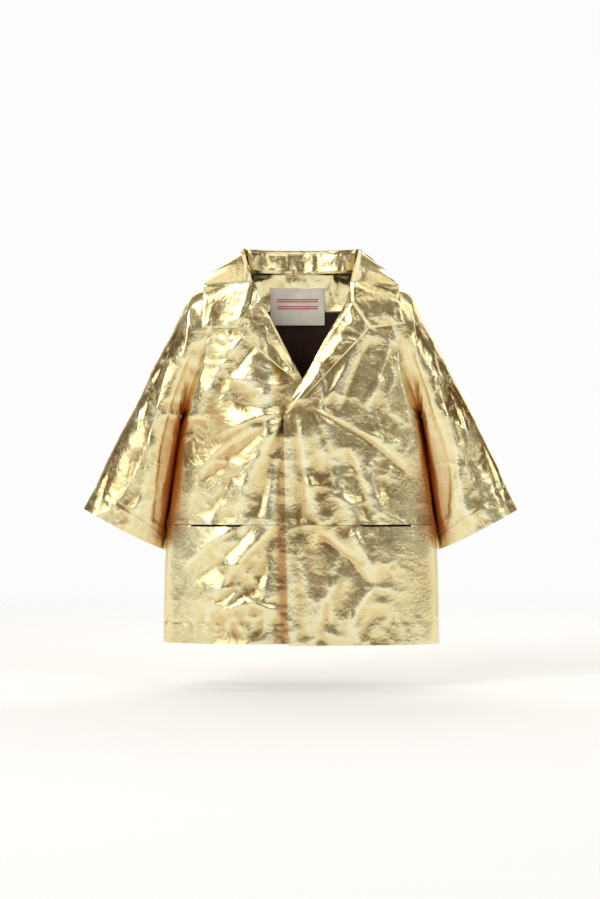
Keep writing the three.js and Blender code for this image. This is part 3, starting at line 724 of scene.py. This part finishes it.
def front_panels():
    whole = (level(TOP), level(WAIST + 0.0001))
    inner = lambda z: np.where(z > BREAK, left_roll(z), left_front_edge(z))
    base = body_grid(FRONT, *whole, inner, side_edge)
    left, _, _ = shell("left_upper_front_cloth", base, (0, -1, 0), waist_gathers(base) + edge_lift(base))
    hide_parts("left_upper_front", "left_flap_upper")
    bend_left(left)

    left_base = body_grid(FRONT, mouth_line(1), level(HEM - 0.002), left_front_edge, side_edge)
    right_base = body_grid(FRONT, mouth_line(-1), level(HEM), minus_side_edge, right_front_edge)
    for side, base, lap, bend in (
        ("left", left_base, edge_lift(left_base), bend_left),
        ("right", right_base, underlap(right_base[..., 0]), bend_right),
    ):
        extra = hem_stitching(base) + lap
        cloth, outer, n = shell(side + "_lower_front_cloth", base, (0, -1, 0), extra)
        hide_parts(side + "_lower_front", side + "_flap_lower")
        row = np.argmin(np.abs(base[:, base.shape[1] // 2, 2] - HEM_LINE))
        bend(cloth)
        bend(stitches(side + "_front_hem_stitches", outer[row], n[row]))

    base = body_grid(FRONT, level(TOP), level(SLIT), minus_side_edge, right_inner)
    chest, _, _ = shell("right_chest_cloth", base, (0, -1, 0), underlap(base[..., 0]))
    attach(chest, "root")
    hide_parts("right_upper_front")
    base = body_grid(FRONT, level(SLIT), level(WAIST + 0.0001), minus_side_edge, right_front_edge)
    extra = underlap(base[..., 0]) + waist_gathers(base)
    belly, _, _ = shell("right_upper_front_cloth", base, (0, -1, 0), extra)
    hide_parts("right_flap_upper")
    bend_right(belly)


def mouth_line(sign):
    """Top edge of a lower front: level at the waist seam, a little lower along the pocket's mouth."""
    low, high = (float(left_front_edge(WAIST)), float(side_edge(WAIST)))
    if sign < 0:
        low, high = -high, float(right_front_edge(WAIST))
    w = float(half_width(WAIST))

    def top(u):
        start, end = np.arccos(low / w), np.arccos(high / w)
        x = np.abs(w * np.cos(start + (end - start) * np.asarray(u, float)))
        return WAIST - 0.0006 - 0.0022 * smooth(x, 0.080, 0.086) * (1 - smooth(x, 0.172, 0.180))

    return top


def stitches(name, line, normals, step=0.0034, length=0.0024, radius=0.00028):
    """A row of thread stitches along a line on the cloth, each a short arched tube whose ends dip in."""
    gaps = np.linalg.norm(np.diff(line, axis=0), axis=1)
    place = np.concatenate([[0], np.cumsum(gaps)])
    count = int(place[-1] / step)
    rings, faces, sides = [], [], 6
    turn = np.arange(sides) * math.tau / sides
    for i in range(1, count):
        s = i * step + np.linspace(-0.5, 0.5, 5) * length
        p = np.stack([np.interp(s, place, line[:, k]) for k in range(3)], -1)
        n = np.stack([np.interp(s, place, normals[:, k]) for k in range(3)], -1)
        t = p[-1] - p[0]
        t /= np.linalg.norm(t)
        b = np.cross(n, t)
        rise = np.array((-0.6, 0.6, 0.9, 0.6, -0.6)) * radius
        thick = np.array((0.35, 0.9, 1.0, 0.9, 0.35)) * radius
        first = len(rings) * sides
        for k in range(5):
            spokes = np.cos(turn)[:, None] * n[k] + np.sin(turn)[:, None] * b[k]
            rings.append(p[k] + n[k] * rise[k] + thick[k] * spokes)
        for k in range(4):
            for j in range(sides):
                a, c = first + k * sides + j, first + k * sides + (j + 1) % sides
                faces.append((a, c, c + sides, a + sides))
        faces.append(tuple(range(first, first + sides)))
        faces.append(tuple(range(first + 5 * sides - 1, first + 4 * sides - 1, -1)))
    points = np.concatenate(rings)
    obj = add_object(name, points, faces)
    store(obj, points)
    fix_winding(obj)
    dress(obj, "thread")
    return obj


def back_panel():
    base = body_grid(BACK, level(0.0), level(HEM), minus_side_edge, side_edge)
    cloth, outer, n = shell("back_cloth", base, (0, 1, 0), hem_stitching(base))
    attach(cloth, "root")
    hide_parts("back_panel")
    row = np.argmin(np.abs(base[:, 0, 2] - HEM_LINE))
    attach(stitches("back_hem_stitches", outer[row], n[row]), "root")


# ---- Sleeves ----
CUFF_OUT = np.array((0.3069, -0.333))
CUFF_IN = np.array((0.197, -0.392))
UNDERSIDE = np.array((0.1700, -0.2005))  # where the sleeve's underside starts
ARM_RUN = 0.092  # how far past the underarm a sleeve takes to follow its arm fully
HEAD_ROWS, TUBE_ROWS, SLEEVE_COLS = 44, 140, 150
SEAM_TOP = -0.010  # height where the raglan seams start at the neck
FACING_IN = 0.0014  # from the shell's outer face in to a cuff facing
LINING_IN = 0.0026  # and in to a lining


def sleeve_grid(sign):
    """From the raglan seams over the shoulder to the cuff. Columns run from the front's underarm over
    the top to the back's."""
    w = np.linspace(-1, 1, SLEEVE_COLS)[None, :]
    share = (1 - np.cos(np.pi * np.abs(w))) / 2
    t = np.linspace(0, 1, HEAD_ROWS)[:, None]
    seam_z = SEAM_TOP + (UNDERARM[1] - SEAM_TOP) * t
    neck = half_width(0)
    ridge_x = neck + (SHOULDER[0] - neck) * t
    x = ridge_x + (raglan(seam_z) - ridge_x) * share
    ridge_z = SHOULDER[1] * t
    z = ridge_z + (seam_z - ridge_z) * share
    y = MID_Y + np.sign(w) * depth(x, z)
    head = np.stack([x, y, z + 0.004 * np.sin(np.pi * t) * (1 - share) ** 2], -1)
    t = np.linspace(0, 1, TUBE_ROWS)[1:, None]
    top = np.array(SHOULDER) + (CUFF_OUT - np.array(SHOULDER)) * t[..., None]
    under = UNDERSIDE + (CUFF_IN - UNDERSIDE) * t[..., None]
    p = top + (under - top) * share[..., None]
    ring_depth = (ARM_DEPTH + (CUFF_DEPTH - ARM_DEPTH) * t) * np.sin(np.pi * np.abs(w))
    # the underside hangs close behind the body's side
    behind = smooth(t, 0, 0.16) * share**5
    y = MID_Y + np.sign(w) * ring_depth + 0.013 * behind
    grid = np.concatenate([head, np.stack([p[..., 0] - 0.005 * behind, y, p[..., 1]], -1)])
    grid[..., 0] *= sign
    return grid


def sleeves():
    for side, sign in (("left", 1), ("right", -1)):
        base = sleeve_grid(sign)
        n = grid_normals(base, (0, 0, 1))
        spacing = np.linalg.norm(base[-1] - base[-2], axis=-1).mean()
        to_cuff = spacing * (base.shape[0] - 1 - np.arange(base.shape[0]))
        from_stitches = to_cuff[:, None] - HEM_BAND
        band = np.exp(-((from_stitches / 0.0011) ** 2))
        around = np.linspace(0, 0.25, base.shape[1])[None, :]
        gathers = 0.0005 * np.sin(around / GATHER + 2 * noise(base, 0.02, 93))
        h = height_at(base) - 0.0006 * band + gathers * np.exp(-((from_stitches / 0.012) ** 2))
        outer = base + n * h[..., None]
        arm = side + "_arm"
        cloth = thin_solid(side + "_sleeve_cloth", outer, outer - n * CLOTH, creases(h))
        dress(cloth, "shell")
        row = int(np.argmin(np.abs(from_stitches)))
        thread = stitches(side + "_cuff_stitches", outer[row], n[row])
        rows = slice(row + 2, -2)
        facing = layer(side + "_cuff_facing_cloth", outer[rows], n[rows], FACING_IN, "shell")
        inside = outer - n * 0.0004 * (1 + noise(base, 0.03, 95))[..., None]
        rows = slice(HEAD_ROWS + 7, row + 8)
        lining = layer(side + "_sleeve_lining_cloth", inside[rows], n[rows], LINING_IN, "lining")
        rows, cut = slice(9, HEAD_ROWS - 4), slice(9, -9)
        part = rows, cut
        cap = layer(side + "_shoulder_lining_cloth", inside[part], n[part], LINING_IN, "lining")
        for piece in (cloth, thread, facing, lining):
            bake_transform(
                piece,
                "root",
                arm,
                start=(sign * 0.1687, MID_Y, -0.2),
                end=(sign * (0.1687 + ARM_RUN * 0.94), MID_Y, -0.2 - ARM_RUN * 0.342),
            )
        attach(cap, "root")
        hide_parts(side + "_shoulder", side + "_sleeve")
        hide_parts(side + "_cuff_facing")
        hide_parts(side + "_sleeve_lining")
        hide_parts(side + "_shoulder_lining")


def layer(name, outer, n, deep, finish):
    """A sheet that lies deep behind the outer grid."""
    obj = thin_solid(name, outer - n * deep, outer - n * (deep + LINING_CLOTH))
    dress(obj, finish)
    return obj


# ---- Collar and lapels ----
def along_chain(points, share):
    """The chain's points in metres, and the link and the place on it at each share of the way along."""
    p = np.array(points) * MM
    s = np.clip(np.asarray(share, float), 0, 1) * (len(p) - 1)
    i = np.minimum(s.astype(int), len(p) - 2)
    return p, i, (s - i)[..., None]


def smooth_chain(points, share):
    """Points at shares of the way along a chain, rounded between its corners."""
    p, i, f = along_chain(points, share)
    before = p[np.maximum(i - 1, 0)]
    a, b = p[i], p[i + 1]
    after = p[np.minimum(i + 2, len(p) - 1)]
    m0, m1 = (b - before) / 2, (after - a) / 2
    return (
        (2 * f**3 - 3 * f**2 + 1) * a + (f**3 - 2 * f**2 + f) * m0
        + (-2 * f**3 + 3 * f**2) * b + (f**3 - f**2) * m1
    )


def straight_chain(points, share):
    p, i, f = along_chain(points, share)
    return p[i] * (1 - f) + p[i + 1] * f


def on_front(x, z, lift, floor=0.0):
    """Points lift in front of the coat's front, and the front's own points. floor is the least depth."""
    d = np.mean([depth(x, z + k) for k in np.linspace(-0.016, 0.016, 9)], axis=0)
    d = (d + floor + np.sqrt((d - floor) ** 2 + (0.6 * floor) ** 2)) / 2
    base = np.stack([x, MID_Y - d, z], -1)
    return base - np.array((0, 1, 0)) * lift[..., None], base


ROLL_RADIUS = 0.0013
ROLL_COLS = 7


def front_piece(name, near, far, lift, rows, cols, seed, rolled=False, rumpled=1.0, ridge=0.0):
    """A sheet over the front between the edges near(v) and far(v). rolled turns its near edge under."""
    v = np.linspace(0, 1, rows)[:, None]
    u = np.linspace(0, 1, cols)[None, :]
    a, b = near(v[:, 0])[:, None, :], far(v[:, 0])[:, None, :]
    p = a + (b - a) * u[..., None]
    x, z = p[..., 0], p[..., 1]
    base, sample = on_front(x, z, lift(u, v) + 0 * x, ridge * smooth(v, 0, 0.35) + 0 * x)
    follow = height_at(sample) * smooth(-z, 0.035, 0.075)
    own = 0.0007 * crumple(sample + 0.3, 0.04, seed) + 0.0002 * crumple(sample + 0.3, 0.014, seed + 9)
    own = (own + 0.0012 * noise(sample, 0.06, seed + 20) + 0.0014) * rumpled
    n = grid_normals(base, (0, -1, 0))
    edge = smooth(u, 0, 0.08)
    h = follow + own * edge
    outer = base + np.array((0.0, -1.0, 0.0)) * follow[..., None] + n * (own * edge)[..., None]
    outer = outer + n * (-0.0011 * smooth(u, 0.955, 1) - 0.0008 * smooth(v, 0.975, 1))[..., None]
    inner = outer - n * COLLAR_CLOTH
    if rolled:
        # a short turn that starts behind the front's edge
        start = outer[:, :1]
        inward = outer[:, :1] - outer[:, 3:4]
        inward /= np.linalg.norm(inward, axis=-1, keepdims=True)
        turn = np.linspace(-np.pi, 0, ROLL_COLS + 1)[None, :-1, None]
        back = np.array((0.0, 1.0, 0.0))
        bead = start + back * ROLL_RADIUS + ROLL_RADIUS * (inward * -np.sin(turn) - back * np.cos(turn))
        outer = np.concatenate([bead, outer], 1)
        thick = outer - start - back * ROLL_RADIUS
        thick = thick / np.maximum(np.linalg.norm(thick, axis=-1, keepdims=True), 1e-9)
        inner = np.concatenate([bead - thick[:, :ROLL_COLS] * CLOTH, inner], 1)
        h = np.concatenate([np.repeat(h[:, :1], ROLL_COLS, 1), h], 1)
    obj = thin_solid(name, outer, inner, creases(h))
    dress(obj, "shell")
    return obj


LEAVES = {
    "left": dict(
        sign=1,
        near=[(81, 32), (68, -16), (69, -45), (94, -81.5)],
        far=[(130, -7), (136, -22), (138, -42), (145, -74)],
    ),
    "right": dict(
        sign=-1,
        near=[(-81, 32), (-68, -18), (-72, -45), (-89, -80.5)],
        far=[(-130, -7), (-136, -22), (-138, -42), (-139, -80)],
    ),
}
LAPELS = {
    "left": (
        [(68.5, -45.4), (40.6, -84), (11.5, -136), (-9, -172), (-23, -198)],
        [(93.5, -82.1), (85, -92), (44, -135), (12, -169), (-20.5, -199.5)],
    ),
    "right": (
        [(-71.4, -45.3), (-52.8, -52), (-36, -82), (-19, -116), (-6, -142)],
        [(-88.4, -80.8), (-88, -90), (-60, -112), (-32, -135), (-8, -153)],
    ),
}


def leaf_lift(u, v):
    over = 0.004 * (1 - smooth(v, 0.1, 0.6))
    return (0.0024 + over + 0.0026 * smooth(u, 0.3, 1)) * smooth(v, -0.01, 0.17)


def lapel_lift(u, v):
    return 0.0009 + 0.0042 * smooth(u, 0, 0.6) * smooth(1 - v, 0, 0.12) + 0 * v


def leaves_and_lapels():
    for side, leaf in LEAVES.items():
        near = lambda v: straight_chain(leaf["near"], v)
        far = lambda v: smooth_chain(leaf["far"], v)
        body = side + "_revers"
        collar_leaf = front_piece(
            side + "_collar_leaf_cloth", near, far, leaf_lift, 60, 36, 210, ridge=0.024
        )
        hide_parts(side + "_collar_shoulder", side + "_collar_leaf")
        lapel_near, lapel_far = LAPELS[side]
        lapel = front_piece(
            side + "_lapel_cloth",
            lambda v: smooth_chain(lapel_near, v),
            lambda v: smooth_chain(lapel_far, v),
            lapel_lift,
            86,
            26,
            240 if side == "left" else 260,
            rolled=True,
            rumpled=0.8,
        )
        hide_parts(side + "_lapel")
        x = leaf["sign"] * 0.1
        for piece in (collar_leaf, lapel):
            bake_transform(piece, "root", body, start=(x, MID_Y, -0.004), end=(x, MID_Y, -0.045))


ROLL_HALF = 0.080  # half width of the collar's roll


def collar_grid(a0, a1):
    """The collar behind the shoulders between two angles: 0 is the wearer's left shoulder, pi the right."""
    cols = max(8, int(abs(a1 - a0) * 0.08 / CELL))
    a = np.linspace(a0, a1, cols)[None, :]
    v = np.linspace(0, 1, 40)[:, None]
    c, s = np.cos(a), np.maximum(np.sin(a), 0)
    roll = np.stack([ROLL_HALF * c, MID_Y + 0.044 * s, COLLAR_RISE + 0 * c], -1)
    x = 0.130 * c
    z = -0.006 - 0.037 * np.sqrt(s)
    y = MID_Y + depth(x, z) + 0.004 * s
    edge = np.stack([x, np.maximum(y, roll[..., 1] + 0.0015), z], -1)
    p = roll + (edge - roll) * (v**1.15)[..., None]
    # a rounded roll: the fall leaves the roll level and bends down into the collar's slope
    bulge = np.sin(np.pi * v) + np.sin(np.pi * np.minimum(v * 2.2, 1))
    p[..., 1] += 0.003 * bulge * s
    p[..., 2] += 0.0016 * np.sin(np.pi * np.minimum(v * 3, 1)) * s
    return p


SIDE_END = 0.004  # radians left between the collar's end and its leaf, on the shoulder's ridge


def collar_backs():
    for side, sign, a0 in (("left", 1, SIDE_END), ("right", -1, math.pi - SIDE_END)):
        base = collar_grid(a0, math.pi / 2)
        n = grid_normals(base, (0, 1, 0.3))
        q = base + np.array((0.5, 0, 0.2))
        v = np.linspace(0, 1, base.shape[0])[:, None]
        h = 0.0016 * noise(q, 0.05, 301) + 0.0008 * crumple(q, 0.03, 311) + 0.0004 * crumple(q, 0.013, 321)
        h = h * smooth(v, 0, 0.12)
        outer = base + n * (h + 0.0012)[..., None]
        cloth = thin_solid(side + "_collar_back_cloth", outer, outer - n * COLLAR_CLOTH, creases(h))
        dress(cloth, "shell")
        start, end = (sign * 0.085, 0, 0), (sign * 0.045, 0, 0)
        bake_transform(cloth, "root", "collar_turn_part", start=start, end=end)
        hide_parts(side + "_collar_side", "collar_back")


def collar_stand():
    a = np.pi * np.linspace(0.004, 0.996, 120)[None, :]
    v = np.linspace(0, 1, 26)[:, None]
    grow = 0.0045 * v + 0.0016 * smooth(v, 0.8, 1)
    x = (0.074 + 0.4 * grow) * np.cos(a)
    y = MID_Y + (0.037 + grow) * np.sin(a)
    base = np.stack([x, y, 0.0005 + 0.0318 * v + 0 * a], -1)
    n = grid_normals(base, (0, -1, 0))
    q = base * np.array((1.0, 1.0, 0.55)) + 0.7
    h = 0.0011 * crumple(q, 0.026, 331) + 0.0005 * crumple(q, 0.012, 341) + 0.0012 * noise(q, 0.04, 351)
    h = h * (1 - smooth(v, 0.86, 1)) * smooth(v, 0, 0.12)
    outer = base + n * h[..., None]
    stand = thin_solid("collar_stand_cloth", outer, outer - n * CLOTH, creases(h))
    dress(stand, "shell")
    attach(stand, "root")
    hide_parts("collar_stand")


# ---- Inside pieces, made finer from their CAD solids ----
def outward_at(p):
    """Level outward directions at points of the coat's body."""
    w, d = half_width(p[..., 2]), half_depth(p[..., 2])
    body = np.stack([p[..., 0] / w**2, (p[..., 1] - MID_Y) / d**2, 0 * w], -1)
    return body / np.maximum(np.linalg.norm(body, axis=-1, keepdims=True), 1e-9)


def finer_copy(node, cuts):
    """A copy of a CAD piece whose long edges are halved cuts times, without the import's attributes."""
    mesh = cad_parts[node].data.copy()
    mesh.name = node + "_cloth"
    obj = bpy.data.objects.new(node + "_cloth", mesh)
    bpy.context.scene.collection.objects.link(obj)
    for name in [a.name for a in mesh.attributes if a.name.startswith(("_", "sharp", "custom"))]:
        if not mesh.attributes[name].is_required:
            mesh.attributes.remove(mesh.attributes[name])
    bm = bmesh.new()
    bm.from_mesh(mesh)
    bmesh.ops.remove_doubles(bm, verts=bm.verts, dist=1e-5)
    for _ in range(cuts):
        longest = [e for e in bm.edges if e.calc_length() > 0.007]
        bmesh.ops.subdivide_edges(bm, edges=longest, cuts=1, use_grid_fill=True)
        bmesh.ops.triangulate(bm, faces=[f for f in bm.faces if len(f.verts) > 4])
    bmesh.ops.recalc_face_normals(bm, faces=bm.faces)
    bm.to_mesh(mesh)
    bm.free()
    return obj


def refine(node, finish, cuts, ripple=0.0, follows=True):
    """A finer copy of a thin CAD piece, with small ripples of its own, that follows the shell's folds."""
    obj = finer_copy(node, cuts)
    mesh = obj.data
    co = np.zeros(len(mesh.vertices) * 3, np.float32)
    mesh.vertices.foreach_get("co", co)
    p = co.reshape(-1, 3).astype(float)
    q = p.copy()
    q[:, 1] = MID_Y + np.sign(p[:, 1] - MID_Y) * (np.abs(p[:, 1] - MID_Y) + 0.003)
    h = height_at(q) if follows else np.zeros(len(p))
    own = ripple * (noise(q, 0.035, 401) + 0.5 * noise(q, 0.016, 411))
    moved = p + outward_at(p) * (h + np.minimum(own - ripple, 0))[:, None]
    mesh.vertices.foreach_set("co", moved.astype(np.float32).ravel())
    mesh.update()
    mesh.shade_smooth()
    store(obj, p)
    dress(obj, finish)
    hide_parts(node)
    return obj


def insides():
    for node, flat, area in (
        ("back_lining", (0.4, 0.46), 0.16),
        ("left_front_lining", (0.21, 0.42), 0.053),
        ("right_front_lining", (0.21, 0.42), 0.053),
    ):
        piece = refine(node, "lining", 3, ripple=0.0009)
        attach(piece, "root")
    for side in ("left", "right"):
        for node, finish, body, follows in (
            ("_pocket_bag", "lining", "root", False),
            ("_pocket_end_tab", "shell", "root", True),
            ("_hem_facing", "shell", "root", True),
            ("_front_facing", "shell", side + "_flap", True),
        ):
            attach(refine(side + node, finish, 2, follows=follows), body)
    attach(refine("back_hem_facing", "shell", 3), "root")


def neck_facing():
    edge = lambda z: raglan(z) - 0.004
    base = body_grid(BACK, level(-0.001), level(-0.052), lambda z: -edge(z), edge)
    n = grid_normals(base, (0, 1, 0))
    own = 0.0010 * crumple(base, 0.03, 501) + 0.0008 * noise(base, 0.016, 511) - 0.0012
    inside = base + n * (height_at(base) - 0.0031 + own)[..., None]
    neck = thin_solid("neck_facing_cloth", inside, inside - n * CLOTH, creases(own))
    dress(neck, "shell")
    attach(neck, "root")
    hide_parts("back_neck_facing")


def label():
    cols, rows = 66, 46
    u = np.linspace(-1, 1, cols)[None, :]
    v = np.linspace(0, 1, rows)[:, None]
    x = LABEL_X + 0.0385 * u + 0 * v
    z = -0.021 - 0.052 * v + 0 * u
    w = half_width(z)
    y = MID_Y + (half_depth(z) - 0.0074) * np.sqrt(1 - (x / w) ** 2)
    base = np.stack([x, y, z], -1)
    curl = 0.0006 * smooth(np.abs(u), 0.9, 1) * smooth(v, 0.6, 1)
    base[..., 1] += height_at(base + np.array((0, 0.005, 0))) - curl - 0.0003 * (1 + noise(base, 0.02, 77))
    n = grid_normals(base, (0, -1, 0))
    cloth = thin_solid("neck_label_cloth", base, base - n * 0.0005)
    dress(cloth, "label")
    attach(cloth, "root")
    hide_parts("neck_label")
    ring = np.concatenate([base[2, 2:-2], base[2:-2, -3], base[-3, -3:1:-1], base[-3:1:-1, 2]])
    ring_n = np.concatenate([n[2, 2:-2], n[2:-2, -3], n[-3, -3:1:-1], n[-3:1:-1, 2]])
    thread = stitches("label_stitches", ring, ring_n, step=0.0026, length=0.0019, radius=0.0002)
    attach(thread, "root")


def snap_finish():
    for name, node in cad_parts.items():
        if name.startswith("snap_"):
            dress(node, "snap")
            node.data.shade_smooth()


# ---- Setting ----
WHITE = (0.98, 0.98, 0.98)
FLOOR = -0.585
FLOOR_HALF = 3


def floor():
    mesh = bpy.data.meshes.new("floor")
    corners = ((-1, -1), (1, -1), (1, 1), (-1, 1))
    mesh.from_pydata([(FLOOR_HALF * x, FLOOR_HALF * y, FLOOR) for x, y in corners], [], [(0, 1, 2, 3)])
    obj = bpy.data.objects.new("floor", mesh)
    bpy.context.scene.collection.objects.link(obj)
    material, g, shader = new_material("pale_floor")
    shader.inputs["Base Color"].default_value = (0.86, 0.86, 0.86, 1)
    shader.inputs["Roughness"].default_value = 0.9
    shader.inputs["Specular IOR Level"].default_value = 0.1
    shader.inputs["Emission Color"].default_value = (1, 1, 1, 1)
    shader.inputs["Emission Strength"].default_value = 0.22
    # the floor fades out with distance into the white round it
    far = g.nodes.new("ShaderNodeVectorMath")
    far.operation = "LENGTH"
    g.links.new(g.nodes.new("ShaderNodeTexCoord").outputs["Object"], far.inputs[0])
    g.links.new(g.step(far.outputs["Value"], 2.6, 1.0), shader.inputs["Alpha"])
    mesh.materials.append(material)


def area_light(name, place, target, size, power):
    data = bpy.data.lights.new(name, "AREA")
    data.shape = "RECTANGLE"
    data.size, data.size_y = size
    data.energy = power
    obj = bpy.data.objects.new(name, data)
    obj.location = place
    obj.rotation_mode = "QUATERNION"
    obj.rotation_quaternion = (Vector(target) - Vector(place)).to_track_quat("-Z", "Y")
    bpy.context.scene.collection.objects.link(obj)


DIM_SKY = (0.34, 0.31, 0.275)
# Round patches of sky: centre, cosines of the angles where it is full and where it ends, and colour.
DARK_CARDS = (
    ((0.0, -1.0, 0.30), 0.985, 0.93, (0.15, 0.095, 0.05)),
    ((0.62, -0.8, 0.12), 0.98, 0.91, (0.07, 0.04, 0.018)),
    ((-0.78, -0.62, 0.08), 0.985, 0.92, (0.08, 0.045, 0.02)),
    ((0.9, -0.1, 0.35), 0.97, 0.90, (0.10, 0.05, 0.022)),
    ((-0.9, -0.1, 0.4), 0.97, 0.90, (0.10, 0.05, 0.022)),
    ((0.0, 0.3, 1.0), 0.9, 0.75, (0.2, 0.15, 0.1)),
)
BACKDROPS = (
    ((0, 1, 0), 0.86, 0.80, WHITE),
    ((-1, 0, 0), 0.975, 0.93, WHITE),
    ((1, 0, 0), 0.975, 0.93, WHITE),
)
SOFTBOXES = (
    ((-0.55, -0.72, 0.5), 0.95, 0.9, (1.75, 1.75, 1.7)),
    ((0.5, -0.7, 0.62), 0.965, 0.93, (1.2, 1.2, 1.15)),
    ((-0.3, 0.8, 0.6), 0.94, 0.88, (1.6, 1.57, 1.5)),
    ((0.6, 0.75, 0.45), 0.95, 0.9, (1.3, 1.27, 1.2)),
)


def studio():
    world = bpy.data.worlds.new("studio")
    bpy.context.scene.world = world
    world.use_nodes = True
    g = Graph(world.node_tree)
    direction = g.nodes.new("ShaderNodeTexCoord").outputs["Generated"]

    def lay_patches(sky, patches):
        for centre, inner, outer, color in patches:
            dot = g.nodes.new("ShaderNodeVectorMath")
            dot.operation = "DOT_PRODUCT"
            g.links.new(direction, dot.inputs[0])
            c = np.array(centre, float)
            dot.inputs[1].default_value = tuple(c / np.linalg.norm(c))
            sky = g.lay(sky, g.step(dot.outputs["Value"], outer, inner), color)
        return sky

    sky = lay_patches(DIM_SKY, DARK_CARDS + BACKDROPS)
    below = g.step(g.split(direction)["Z"], 0.03, 0.0)
    sky = lay_patches(g.lay(sky, below, WHITE), SOFTBOXES)
    background = g.nodes["Background"]
    g.links.new(sky, background.inputs["Color"])
    background.inputs["Strength"].default_value = 1.0
    chest = (0, -0.04, -0.25)
    area_light("key", (-1.5, -1.9, 1.5), chest, (0.9, 0.9), 15)
    area_light("fill", (1.9, -1.6, 0.7), chest, (0.5, 1.2), 3)
    area_light("overhead", (0, 0, 2.6), (0, 0, 0), (2.4, 2.4), 16)
    area_light("rim", (0.6, 1.9, 1.3), (0, -0.04, -0.2), (0.9, 0.7), 7)


def camera():
    data = bpy.data.cameras.new("camera")
    data.lens = 100
    data.sensor_width = 36
    data.clip_end = 200
    obj = bpy.data.objects.new("camera", data)
    obj.location = (-0.002, -3.56, -0.25)
    obj.rotation_euler = (math.pi / 2, 0, 0)
    bpy.context.scene.collection.objects.link(obj)
    bpy.context.scene.camera = obj


front_panels()
back_panel()
sleeves()
collar_backs()
collar_stand()
leaves_and_lapels()
insides()
neck_facing()
label()
snap_finish()
floor()
studio()
camera()
bpy.context.scene.view_settings.view_transform = "Standard"
